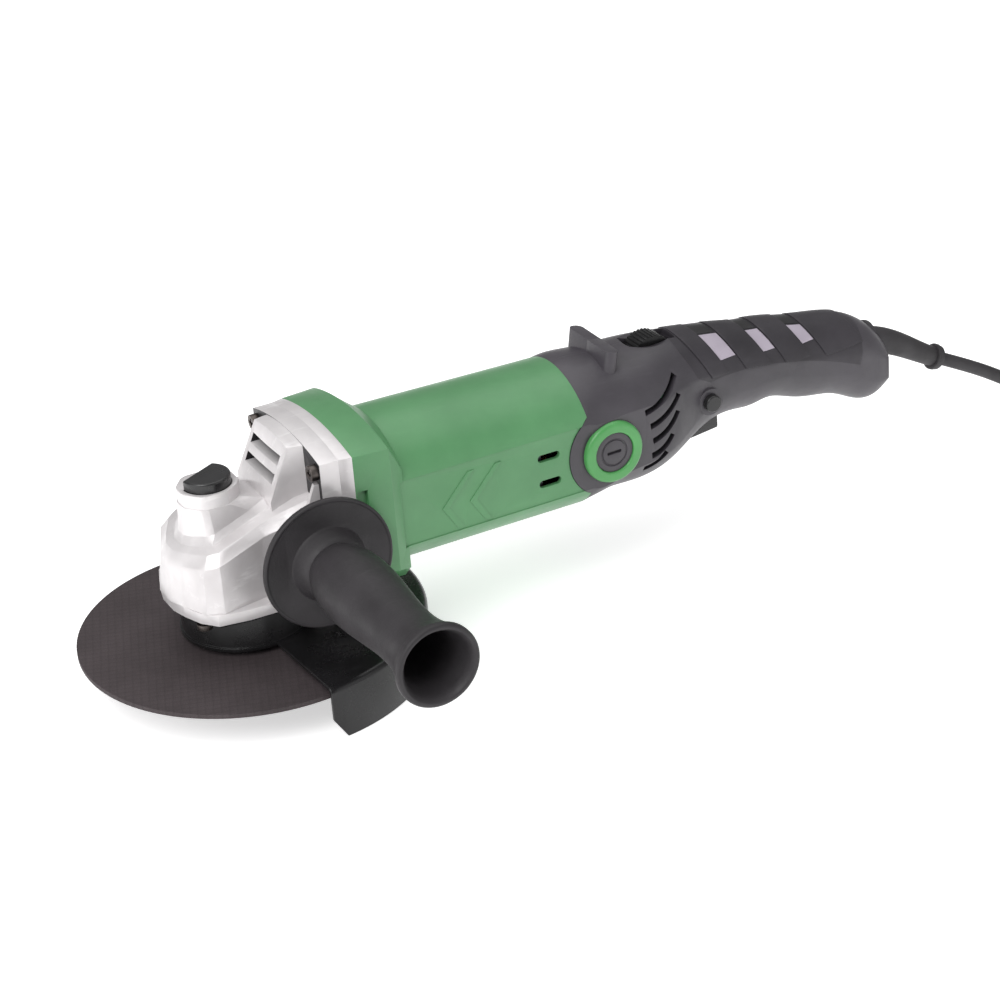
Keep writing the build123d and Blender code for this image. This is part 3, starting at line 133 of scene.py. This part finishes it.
def make_lead():
    """The whole lead as one open curve."""
    data = bpy.data.curves.new("mains_lead", "CURVE")
    data.dimensions = "3D"
    data.bevel_depth = CORD_R
    data.bevel_resolution = 6
    data.resolution_u = 8
    route = list(LEAD) + coil_points()[1:] + list(PLUG_LEAD)
    spline = data.splines.new("NURBS")
    spline.points.add(len(route) - 1)
    for point, place in zip(spline.points, route):
        point.co = (*(MM * value for value in place), 1.0)
    spline.order_u = 3
    spline.use_endpoint_u = True
    lead = bpy.data.objects.new("mains_lead", data)
    bpy.context.scene.collection.objects.link(lead)
    return lead


# ---- materials ---------------------------------------------------------------------------
finishes = {}               # a material for each of the record's slots, and a few more
COAT_ROUGHNESS = 0.2


def shader_tree(name, metallic=0.0, coat=0.0):
    """New material with its node tree and its shader."""
    material = bpy.data.materials.new(name + "_finish")
    material.use_nodes = True
    finishes[name] = material
    tree = material.node_tree
    shader = tree.nodes["Principled BSDF"]
    shader.inputs["Metallic"].default_value = metallic
    shader.inputs["Coat Weight"].default_value = coat
    shader.inputs["Coat Roughness"].default_value = COAT_ROUGHNESS
    return material, tree, shader


def placed(tree, scale=(1.0, 1.0, 1.0), turn=(0.0, 0.0, 0.0)):
    """Object coordinates, scaled per axis and turned."""
    place = tree.nodes.new("ShaderNodeTexCoord")
    mapping = tree.nodes.new("ShaderNodeMapping")
    mapping.inputs["Rotation"].default_value = turn
    mapping.inputs["Scale"].default_value = scale
    tree.links.new(place.outputs["Object"], mapping.inputs["Vector"])
    return mapping.outputs["Vector"]


def noise(tree, vector, scale, detail=3.0, roughness=0.6):
    node = tree.nodes.new("ShaderNodeTexNoise")
    node.inputs["Scale"].default_value = scale
    node.inputs["Detail"].default_value = detail
    node.inputs["Roughness"].default_value = roughness
    tree.links.new(vector, node.inputs["Vector"])
    return node.outputs["Fac"]


def cells(tree, vector, scale):
    """Rounded cells, for sparkling or knobbly grain."""
    node = tree.nodes.new("ShaderNodeTexVoronoi")
    node.inputs["Scale"].default_value = scale
    tree.links.new(vector, node.inputs["Vector"])
    return node.outputs["Distance"]


def bands(tree, vector, scale, direction, distortion):
    """Parallel stripes across an axis."""
    node = tree.nodes.new("ShaderNodeTexWave")
    node.wave_type = "BANDS"
    node.bands_direction = direction
    node.inputs["Scale"].default_value = scale
    node.inputs["Distortion"].default_value = distortion
    tree.links.new(vector, node.inputs["Vector"])
    return node.outputs["Fac"]


def spread(tree, value, low, high, start=0.3, end=0.7):
    """A pattern's value spread between two numbers."""
    node = tree.nodes.new("ShaderNodeMapRange")
    for socket, number in zip(("From Min", "From Max", "To Min", "To Max"), (start, end, low, high)):
        node.inputs[socket].default_value = number
    tree.links.new(value, node.inputs["Value"])
    return node.outputs["Result"]


def two_tone(tree, value, deep, pale):
    """A pattern's value as a run of colour from deep to pale."""
    ramp = tree.nodes.new("ShaderNodeValToRGB")
    ramp.color_ramp.elements[0].position = 0.35
    ramp.color_ramp.elements[1].position = 0.65
    ramp.color_ramp.elements[0].color = (*deep, 1.0)
    ramp.color_ramp.elements[1].color = (*pale, 1.0)
    tree.links.new(value, ramp.inputs["Fac"])
    return ramp.outputs["Color"]


def overlay(tree, under, over, share):
    """A plain colour laid over a pattern, by the share that another pattern gives."""
    node = tree.nodes.new("ShaderNodeMix")
    node.data_type = "RGBA"
    node.blend_type = "MIX"
    tree.links.new(share, node.inputs["Factor"])
    tree.links.new(under, node.inputs["A"])
    node.inputs["B"].default_value = (*over, 1.0)
    return node.outputs["Result"]


def relief_bump(tree, shader, heights):
    """Stacks bumps, each a pattern with its strength and depth in metres."""
    last = None
    for value, strength, depth in heights:
        bump = tree.nodes.new("ShaderNodeBump")
        bump.inputs["Strength"].default_value = strength
        bump.inputs["Distance"].default_value = depth
        tree.links.new(value, bump.inputs["Height"])
        if last:
            tree.links.new(last, bump.inputs["Normal"])
        last = bump.outputs["Normal"]
    tree.links.new(last, shader.inputs["Normal"])


def dressed(name, deep, pale, shine, heights=(), metallic=0.0, coat=0.0, patch=26.0, scuffs=0.25,
            scuff_colour=None, specular=0.5):
    """Base of every finish: patchy colour, fine rubbed scuffs, uneven gloss and a bumped grain."""
    material, tree, shader = shader_tree(name, metallic, coat)
    shader.inputs["Specular IOR Level"].default_value = specular
    vector = placed(tree)
    colour = two_tone(tree, noise(tree, vector, patch, 4.0), deep, pale)
    scuff = noise(tree, placed(tree, (40.0, 210.0, 150.0), (0.3, 0.5, 0.2)), 1.0, 5.0, 0.7)
    worn = scuff_colour or tuple(min(1.0, 1.35 * value + 0.02) for value in pale)
    colour = overlay(tree, colour, worn, spread(tree, scuff, 0.0, scuffs, 0.58, 0.75))
    tree.links.new(colour, shader.inputs["Base Color"])
    gloss = spread(tree, noise(tree, vector, patch * 3.0, 5.0), *shine)
    tree.links.new(gloss, shader.inputs["Roughness"])
    stack = [(make(tree, vector), strength, depth) for make, strength, depth in heights]
    stack.append((scuff, 0.08, 0.00006))
    relief_bump(tree, shader, stack)
    return material


def fine_grain(scale):
    return lambda tree, vector: noise(tree, vector, scale, 2.0)


def spark_grain(scale):
    return lambda tree, vector: cells(tree, vector, scale)


def cast_aluminium():
    """Bead-blasted die casting: pale grey, fine bright speckle, soft gloss."""
    return dressed("cast_aluminium", (0.58, 0.555, 0.56), (0.73, 0.705, 0.71), (0.28, 0.42), (
        (fine_grain(900.0), 0.22, 0.00012), (spark_grain(520.0), 0.12, 0.0001),
    ), metallic=0.32, scuffs=0.45, scuff_colour=(0.93, 0.92, 0.92))


def moulded(name, deep, pale, shine=(0.34, 0.5), grain=1100.0, depth=0.00008, strength=0.2, **more):
    """Moulded plastic or rubber with a fine spark-eroded grain."""
    return dressed(name, deep, pale, shine, ((fine_grain(grain), strength, depth),), **more)


def turned_steel(name, deep, pale, shine=(0.22, 0.38), direction="Z"):
    """Turned or drawn metal with fine tool marks round its axis."""
    def marks(tree, vector):
        return bands(tree, vector, 900.0, direction, 1.5)
    return dressed(name, deep, pale, shine, ((marks, 0.12, 0.00004),), metallic=1.0, scuffs=0.5)


def abrasive_disc():
    """Resin-bonded grit over a woven glass mesh."""
    mesh_shadow = (0.020, 0.015, 0.016)
    material, tree, shader = shader_tree("bonded_abrasive")
    vector = placed(tree)
    grit = noise(tree, vector, 1500.0, 3.0)
    colour = two_tone(tree, noise(tree, vector, 30.0, 4.0), (0.034, 0.025, 0.027), (0.050, 0.038, 0.041))
    colour = overlay(tree, colour, (0.12, 0.094, 0.098), spread(tree, grit, 0.0, 0.55, 0.55, 0.8))
    weave = placed(tree, (1.0, 1.0, 0.0), (0.0, 0.0, 0.35))
    along, over = (bands(tree, weave, 95.0, axis, 0.6) for axis in "XY")
    for threads in (along, over):
        colour = overlay(tree, colour, mesh_shadow, spread(tree, threads, 0.0, 0.25, 0.75, 1.0))
    tree.links.new(colour, shader.inputs["Base Color"])
    tree.links.new(spread(tree, grit, 0.62, 0.92), shader.inputs["Roughness"])
    relief_bump(tree, shader, (
        (along, 0.16, 0.00018), (over, 0.16, 0.00018), (grit, 0.5, 0.00022),
    ))
    return material


def laminations():
    """Stacked steel sheets with a faint oxide blue."""
    def sheets(tree, vector):
        return bands(tree, vector, 620.0, "X", 0.1)
    return dressed("laminated_steel", (0.20, 0.21, 0.235), (0.36, 0.37, 0.39), (0.32, 0.5),
                   ((sheets, 0.45, 0.00018),), metallic=0.9)


def windings():
    """Lacquered copper wire, laid side by side."""
    def wires(tree, vector):
        return bands(tree, vector, 330.0, "Y", 0.8)
    return dressed("copper_windings", (0.36, 0.12, 0.045), (0.62, 0.25, 0.10), (0.18, 0.34),
                   ((wires, 0.7, 0.0004),), metallic=0.85, coat=0.5)


def painted_sheet():
    """Black coated sheet steel with a slight orange peel and rubbed edges."""
    return dressed("black_painted_steel", (0.006, 0.0058, 0.0062), (0.012, 0.0115, 0.0125), (0.22, 0.34), (
        (fine_grain(240.0), 0.10, 0.00016), (fine_grain(1400.0), 0.08, 0.00004),
    ), coat=0.15, scuffs=0.12, scuff_colour=(0.10, 0.098, 0.10), specular=0.3)


def sheath():
    """Rubber of the lead, with a dusty bloom and a fine drawn grain."""
    return dressed("cord_rubber", (0.022, 0.020, 0.022), (0.036, 0.033, 0.037), (0.46, 0.68), (
        (fine_grain(1600.0), 0.22, 0.00006), (fine_grain(220.0), 0.10, 0.0002),
    ), scuffs=0.35)


def circuit_board():
    """Green lacquered board with raised tracks."""
    material, tree, shader = shader_tree("circuit_board")
    vector = placed(tree)
    tracks = cells(tree, vector, 260.0)
    colour = two_tone(tree, tracks, (0.02, 0.13, 0.05), (0.06, 0.30, 0.12))
    tree.links.new(colour, shader.inputs["Base Color"])
    tree.links.new(spread(tree, tracks, 0.25, 0.5), shader.inputs["Roughness"])
    relief_bump(tree, shader, ((tracks, 0.3, 0.0001),))
    return material


def make_finishes():
    """One material for each of the record's slots, one for the inlays and one near-black for the painted
    shade of dark recesses.
    """
    cast_aluminium()
    abrasive_disc()
    laminations()
    windings()
    painted_sheet()
    circuit_board()
    dressed("black_cast", (0.005, 0.005, 0.0055), (0.012, 0.0115, 0.0125), (0.32, 0.5), (
        (fine_grain(420.0), 0.25, 0.0002), (spark_grain(800.0), 0.15, 0.0001)), specular=0.12, scuffs=0.1)
    turned_steel("dark_steel", (0.05, 0.044, 0.042), (0.16, 0.14, 0.13), (0.28, 0.46))
    turned_steel("bearing_steel", (0.50, 0.51, 0.53), (0.68, 0.69, 0.71), (0.10, 0.22))
    turned_steel("spring_steel", (0.34, 0.34, 0.36), (0.5, 0.5, 0.52))
    turned_steel("machined_steel", (0.40, 0.40, 0.42), (0.60, 0.60, 0.62))
    turned_steel("gear_steel", (0.18, 0.175, 0.175), (0.36, 0.35, 0.35))
    moulded("black_gloss_plastic", (0.010, 0.0098, 0.0102), (0.019, 0.0185, 0.0195), (0.20, 0.34))
    moulded("black_moulded_plastic", (0.020, 0.0185, 0.020), (0.034, 0.031, 0.034), (0.42, 0.60),
            700.0, 0.00014, 0.45, specular=0.3)
    moulded("green_plastic", (0.078, 0.232, 0.096), (0.096, 0.272, 0.116), (0.30, 0.42), 900.0,
            0.00006, 0.16, scuffs=0.12)
    moulded("green_ring_plastic", (0.060, 0.260, 0.070), (0.080, 0.320, 0.092), (0.26, 0.38), 900.0,
            0.00006, 0.12, scuffs=0.12)
    moulded("black_plastic", (0.036, 0.0325, 0.039), (0.052, 0.0465, 0.056), (0.38, 0.52), 950.0,
            0.00008, 0.22, scuffs=0.18, coat=0.12)
    moulded("grip_rubber", (0.027, 0.0245, 0.029), (0.042, 0.038, 0.045), (0.40, 0.56), 620.0,
            0.00012, 0.3, scuffs=0.2, specular=0.35)
    moulded("fan_plastic", (0.44, 0.42, 0.37), (0.56, 0.54, 0.49))
    moulded("carbon", (0.018, 0.018, 0.018), (0.035, 0.035, 0.035), (0.5, 0.7))
    moulded("dial_plastic", (0.008, 0.008, 0.0085), (0.016, 0.0155, 0.0165), (0.22, 0.36), specular=0.2)
    moulded("switch_plastic", (0.045, 0.045, 0.048), (0.070, 0.070, 0.074))
    moulded("capacitor_case", (0.55, 0.36, 0.05), (0.75, 0.52, 0.10), (0.2, 0.3))
    moulded("plug_plastic", (0.018, 0.017, 0.018), (0.030, 0.028, 0.030), (0.42, 0.58))
    turned_steel("commutator_copper", (0.55, 0.25, 0.12), (0.75, 0.38, 0.20), direction="X")
    turned_steel("brass_stampings", (0.55, 0.40, 0.16), (0.74, 0.58, 0.28))
    turned_steel("plated_brass", (0.60, 0.58, 0.53), (0.78, 0.76, 0.71), (0.12, 0.24))
    sheath()
    moulded("grip_inlay", (0.36, 0.32, 0.38), (0.43, 0.385, 0.45), (0.30, 0.42), 1200.0, 0.00006, 0.14,
            scuffs=0.1)
    # near-black painted shade for the hood's slots and the grip's notches
    moulded("painted_shade_black", (0.006, 0.0055, 0.0065), (0.012, 0.011, 0.013))


make_finishes()
slot_of = {part["node"]: part["material_slot"] for part in frame["record"]["subparts"]}
for node_name, node in nodes.items():
    for place in node.material_slots:
        place.material = finishes[slot_of[node_name]]


# ---- making pieces -----------------------------------------------------------------------
def take_up(piece):
    """Makes a piece the only selected and the active object."""
    bpy.ops.object.select_all(action="DESELECT")
    piece.select_set(True)
    bpy.context.view_layer.objects.active = piece


def apply_bevel(piece, width, segments, angle):
    """Rounds a piece's edges that are sharper than an angle in degrees."""
    modifier = piece.modifiers.new("edges", "BEVEL")
    modifier.width = width
    modifier.segments = segments
    modifier.limit_method = "ANGLE"
    modifier.angle_limit = math.radians(angle)
    modifier.use_clamp_overlap = True
    modifier.miter_outer = "MITER_ARC"
    take_up(piece)
    bpy.ops.object.modifier_apply(modifier="edges")


def hand_over(piece, finish, body):
    """Gives a finished piece its material and the body that carries it."""
    piece.data.materials.clear()
    piece.data.materials.append(finishes[finish])
    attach(piece, body)
    return piece


def copy_of(node, name):
    """Merged copy of a CAD node's mesh, free of the node's marks."""
    piece = bpy.data.objects.new(name, nodes[node].data.copy())
    bpy.context.scene.collection.objects.link(piece)
    take_up(piece)
    bpy.ops.mesh.customdata_custom_splitnormals_clear()
    bpy.ops.object.mode_set(mode="EDIT")
    bpy.ops.mesh.select_all(action="SELECT")
    bpy.ops.mesh.remove_doubles(threshold=0.000003)
    bpy.ops.mesh.dissolve_limited(angle_limit=math.radians(0.2))
    bpy.ops.object.mode_set(mode="OBJECT")
    return piece


BODIES = frame["record"]["behaviour"]["bodies"]
BODY_OF = {node: body for body, members in BODIES.items() for node in members}


def softened(node, width):
    """The same solid with its sharp edges rounded over, standing for the CAD node."""
    piece = copy_of(node, node + "_finished")
    apply_bevel(piece, width, 3, 30.0)
    take_up(piece)
    bpy.ops.object.shade_smooth_by_angle(angle=SMOOTH_ANGLE)
    hand_over(piece, slot_of[node], BODY_OF[node])
    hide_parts(node)
    return piece


def cut_away(piece, point, normal):
    """Removes what lies beyond a plane, leaving the cut open."""
    take_up(piece)
    bpy.ops.object.mode_set(mode="EDIT")
    bpy.ops.mesh.select_all(action="SELECT")
    bpy.ops.mesh.bisect(plane_co=point, plane_no=normal, clear_outer=True, use_fill=False)
    bpy.ops.object.mode_set(mode="OBJECT")


def keep_faces(piece, wanted):
    """Keeps only the faces whose middle and normal are wanted."""
    take_up(piece)
    bpy.ops.object.mode_set(mode="EDIT")
    bpy.ops.mesh.select_mode(type="FACE")
    bpy.ops.mesh.select_all(action="DESELECT")
    bpy.ops.object.mode_set(mode="OBJECT")
    for face in piece.data.polygons:
        face.select = not wanted(face.center, face.normal)
    bpy.ops.object.mode_set(mode="EDIT")
    bpy.ops.mesh.delete(type="FACE")
    bpy.ops.object.mode_set(mode="OBJECT")


def thicken(piece, thickness, width):
    """Gives an open skin a thickness outwards, and rounds its rim."""
    solid = piece.modifiers.new("wall", "SOLIDIFY")
    solid.thickness = thickness
    solid.offset = 1.0
    take_up(piece)
    bpy.ops.object.modifier_apply(modifier="wall")
    apply_bevel(piece, width, 2, 50.0)
    take_up(piece)
    bpy.ops.object.shade_smooth_by_angle(angle=RING_SMOOTH_ANGLE)


def lathe_ring(name, centre, axis, inner, outer, length, width, segments=64):
    """Bevelled ring: a tube made from a cylinder by inset, and bored through."""
    turn = Vector((0, 0, 1)).rotation_difference(Vector(axis)).to_euler()
    bpy.ops.object.select_all(action="DESELECT")
    bpy.ops.mesh.primitive_cylinder_add(vertices=segments, radius=outer, depth=length, location=centre,
                                        rotation=turn)
    ring = bpy.context.active_object
    ring.name = name
    bpy.ops.object.transform_apply(location=True, rotation=True, scale=True)
    axis = Vector(axis).normalized()
    bpy.ops.object.mode_set(mode="EDIT")
    bpy.ops.mesh.select_mode(type="FACE")
    bpy.ops.mesh.select_all(action="DESELECT")
    bpy.ops.object.mode_set(mode="OBJECT")
    for face in ring.data.polygons:
        face.select = abs(face.normal.dot(axis)) > 0.9
    bpy.ops.object.mode_set(mode="EDIT")
    bpy.ops.mesh.inset(thickness=outer - inner)
    bpy.ops.mesh.bridge_edge_loops()
    bpy.ops.object.mode_set(mode="OBJECT")
    apply_bevel(ring, width, 2, 40.0)
    take_up(ring)
    bpy.ops.object.shade_smooth_by_angle(angle=RING_SMOOTH_ANGLE)
    return ring


# ---- the lead and what is on it ----------------------------------------------------------
SLEEVE_RIBS = 5
SLEEVE_RIB_STEP = 3.4       # spacing of the ribs along the plug's sleeve


def make_relief_end(exit_place, axis):
    """Dark flange with a soft lip at the small end of the strain relief."""
    # each ring's distance back from the end, outer radius, length and edge
    rings = (("relief_end_flange", 2.4, 6.4, 2.2, 0.5), ("relief_end_lip", 0.5, 4.9, 1.6, 0.4))
    made = []
    for name, back, outer, length, width in rings:
        ring = lathe_ring(name, exit_place - axis * back * MM, axis, 3.6 * MM, outer * MM, length * MM,
                          width * MM)
        made.append(hand_over(ring, "cord_rubber", "housing"))
    return made


def make_sleeve_ribs():
    """Ribs round the plug's sleeve, which grow towards the plug."""
    plug_low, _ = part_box("plug_body")
    made = []
    for rib in range(SLEEVE_RIBS):
        grow = rib / (SLEEVE_RIBS - 1)
        along = plug_low.y + (3.0 + SLEEVE_RIB_STEP * rib) * MM
        centre = (PLUG_LEAD[-1][0] * MM, along, PLUG_LEAD[-1][2] * MM)
        ring = lathe_ring(f"plug_sleeve_rib_{rib + 1}", centre, (0, 1, 0), (4.2 + 1.2 * grow) * MM,
                          (5.6 + 1.3 * grow) * MM, 1.5 * MM, 0.4 * MM)
        made.append(hand_over(ring, "plug_plastic", "housing"))
    return made


lead = make_lead()
hand_over(lead, "cord_rubber", "housing")
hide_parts("cord_tube", "cord_coil")
EXIT = Vector(LEAD[0]) * MM
EXIT_AXIS = (Vector(LEAD[1]) - Vector(LEAD[0])).normalized()
relief = [softened("strain_relief", 0.6 * MM), *make_relief_end(EXIT, EXIT_AXIS)]
plug = [softened("plug_body", 1.2 * MM), nodes["plug_pins"], *make_sleeve_ribs()]

# ---- shells with their edges rounded -----------------------------------------------------
# width of the rounded edges in millimetres
EDGES = {
    "gear_housing": 0.9, "bearing_plate": 0.6, "motor_housing": 0.9, "rear_housing_left": 0.35,
    "rear_housing_right": 0.35, "grip_overmould": 0.6, "guard_shell": 0.35, "guard_collar": 0.4,
    "spindle_lock_button": 0.5, "handle_flange": 0.4, "side_handle": 0.4, "trigger": 0.6,
    "spindle_cover": 0.5, "brush_caps": 0.35, "brush_cap_rings": 0.8, "lock_nut": 0.5, "head_screws": 0.25,
    "inner_flange": 0.4, "lock_on_button": 0.3, "speed_dial": 0.2, "cover_screws": 0.25,
}
HOOD_LENGTH = 27.0 * MM     # the hood runs this far forward of the head's rear face
HOOD_RIM = 1.0 * MM
HOOD_FOOT_Z = 66.0 * MM
HOOD_AXIS_Z = 45.0 * MM
shells = {node: softened(node, width * MM) for node, width in EDGES.items()}


def paint_slot_shade(piece):
    """Paints the faces inside the hood's slots black, as painted shade in the slot recesses."""
    # the second material is near-black painted shade for the slot insides
    piece.data.materials.append(finishes["painted_shade_black"])
    _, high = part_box("gear_housing")
    for face in piece.data.polygons:
        x, y, z = face.center
        in_hood = high.x - HOOD_LENGTH < x < high.x - HOOD_RIM and z > HOOD_FOOT_Z
        outward = Vector((0.0, y, z - HOOD_AXIS_Z)).normalized()
        if in_hood and face.normal.dot(outward) < 0.25:
            face.material_index = 1


paint_slot_shade(shells["gear_housing"])


# ---- inlays, ribs and notches of the soft grip -------------------------------------------
SLANT = Vector((0.90, 0.0, 0.44)).normalized()      # the bands lean back towards the belly
RIBS_START = 219.5
RIBS_END = 306.0
BAND_GAP = 0.6
# x and z of each band's upper front corner, its width, and the height of its lower end
BANDS = ((229.5, 80.5, 8.6, 68.2), (252.5, 77.0, 7.6, 65.4), (274.8, 74.5, 7.8, 63.0))


NOTCH_HALF = 6.6 * MM       # half the width of the notch's painted shade on top
INLAY_INNER = 7.4 * MM      # the inlays start this far from the middle
SKIN_MARGIN = 0.7           # faces that look more than this along the grip are left out


def grip_patch(name, front, back, low_z, outward, lift, finish):
    """Piece of the grip's own outer skin between two slanted planes, lifted off it."""
    patch = copy_of("grip_overmould", name)
    cut_away(patch, front, -SLANT)
    cut_away(patch, back, SLANT)
    cut_away(patch, (0, 0, low_z * MM), (0, 0, -1))
    if outward.y:
        cut_away(patch, (0, outward.y * INLAY_INNER, 0), (0, -outward.y, 0))
    else:
        cut_away(patch, (0, NOTCH_HALF, 0), (0, 1, 0))
        cut_away(patch, (0, -NOTCH_HALF, 0), (0, -1, 0))
    keep_faces(patch, lambda centre, normal: normal.dot(outward) > 0.35 and abs(normal.x) < SKIN_MARGIN)
    thicken(patch, lift * MM, 0.12 * MM)
    return hand_over(patch, finish, "housing")


def make_grip_bands():
    """Pale inlays on both sides of the grip, and over each pair a near-black skin of painted notch shade.
    """
    for number, (x, z, width, low_z) in enumerate(BANDS, 1):
        front = Vector((x, 0, z)) * MM
        back = Vector((x + width, 0, z)) * MM
        for side, word in ((-1, "left"), (1, "right")):
            grip_patch(f"grip_inlay_{number}_{word}", front, back, low_z, Vector((0, side, 0.35)), 0.25,
                       "grip_inlay")
        # the notch over each pair is a near-black skin of painted shade
        grip_patch(f"grip_painted_notch_shade_{number}", front, back, low_z, Vector((0, 0, 1.0)), 0.2, "painted_shade_black")


def make_grip_ribs():
    """Raised blocks between the bands, which give the top of the grip its stepped outline."""
    starts = [RIBS_START] + [x + width + BAND_GAP for x, _, width, _ in BANDS]
    ends = [x - BAND_GAP for x, *_ in BANDS] + [RIBS_END]
    heights = [81.0] + [z for _, z, _, _ in BANDS]
    lows = [low_z - 6.0 for *_, low_z in BANDS] + [55.0]
    for number, (start, end, z, low_z) in enumerate(zip(starts, ends, heights, lows), 1):
        rib = copy_of("grip_overmould", f"grip_rib_{number}")
        cut_away(rib, Vector((start, 0, z)) * MM, -SLANT)
        cut_away(rib, Vector((end, 0, z)) * MM, SLANT)
        cut_away(rib, (0, 0, low_z * MM), (0, 0, -1))
        keep_faces(rib, lambda centre, normal: normal.z + abs(normal.y) > 0.4
                   and abs(normal.x) < SKIN_MARGIN and normal.y * centre.y >= -1e-6 and normal.z > -0.3)
        thicken(rib, 0.55 * MM, 0.25 * MM)
        hand_over(rib, "grip_rubber", "housing")


make_grip_bands()
make_grip_ribs()

# ---- wheel details -----------------------------------------------------------------------
DISC_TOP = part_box("cutting_disc")[1].z
bore_ring = lathe_ring("disc_bore_ring", (0, 0, DISC_TOP - 0.9 * MM), (0, 0, 1), 11.15 * MM, 24.0 * MM,
                       2.1 * MM, 0.15 * MM, 96)
hand_over(bore_ring, "machined_steel", "output_spindle")


# ---- floor and light ---------------------------------------------------------------------
LIGHTS_AIM = (0.15, 0.0, 0.03)


def make_floor():
    """Pale plane that the tool lies on."""
    bpy.ops.object.select_all(action="DESELECT")
    bpy.ops.mesh.primitive_plane_add(size=14.0, location=(0, 0, FLOOR_Z - 0.0001))
    floor = bpy.context.active_object
    floor.name = "floor"
    bpy.ops.object.transform_apply(location=True, rotation=True, scale=True)
    material, tree, shader = shader_tree("pale_floor")
    vector = placed(tree)
    colour = two_tone(tree, noise(tree, vector, 3.0), (0.86, 0.86, 0.86), (0.89, 0.89, 0.89))
    tree.links.new(colour, shader.inputs["Base Color"])
    shader.inputs["Roughness"].default_value = 0.85
    shader.inputs["Emission Color"].default_value = (1.0, 1.0, 1.0, 1.0)
    shader.inputs["Emission Strength"].default_value = 0.55
    floor.data.materials.append(material)


def make_light(name, place, size, energy):
    """Square soft light, aimed at the middle of the tool."""
    data = bpy.data.lights.new(name, "AREA")
    data.energy = energy
    data.size = size
    light = bpy.data.objects.new(name, data)
    aim = Vector(LIGHTS_AIM) - Vector(place)
    light.matrix_world = Matrix.Translation(place) @ aim.to_track_quat("-Z", "Y").to_matrix().to_4x4()
    bpy.context.scene.collection.objects.link(light)


def make_studio():
    """Floor, four lights and a pale room."""
    make_floor()
    make_light("key", (-0.9, -0.7, 1.3), 1.0, 18.0)
    make_light("overhead", (0.3, 0.3, 1.6), 1.8, 13.0)
    make_light("fill", (1.2, -1.3, 0.7), 1.4, 4.0)
    make_light("front", (-1.1, -0.2, 0.35), 1.0, 4.0)
    world = bpy.data.worlds.new("studio")
    world.use_nodes = True
    world.node_tree.nodes["Background"].inputs["Color"].default_value = (1.0, 1.0, 1.0, 1.0)
    world.node_tree.nodes["Background"].inputs["Strength"].default_value = 0.33
    bpy.context.scene.world = world
    bpy.context.scene.view_settings.view_transform = "Standard"


make_studio()
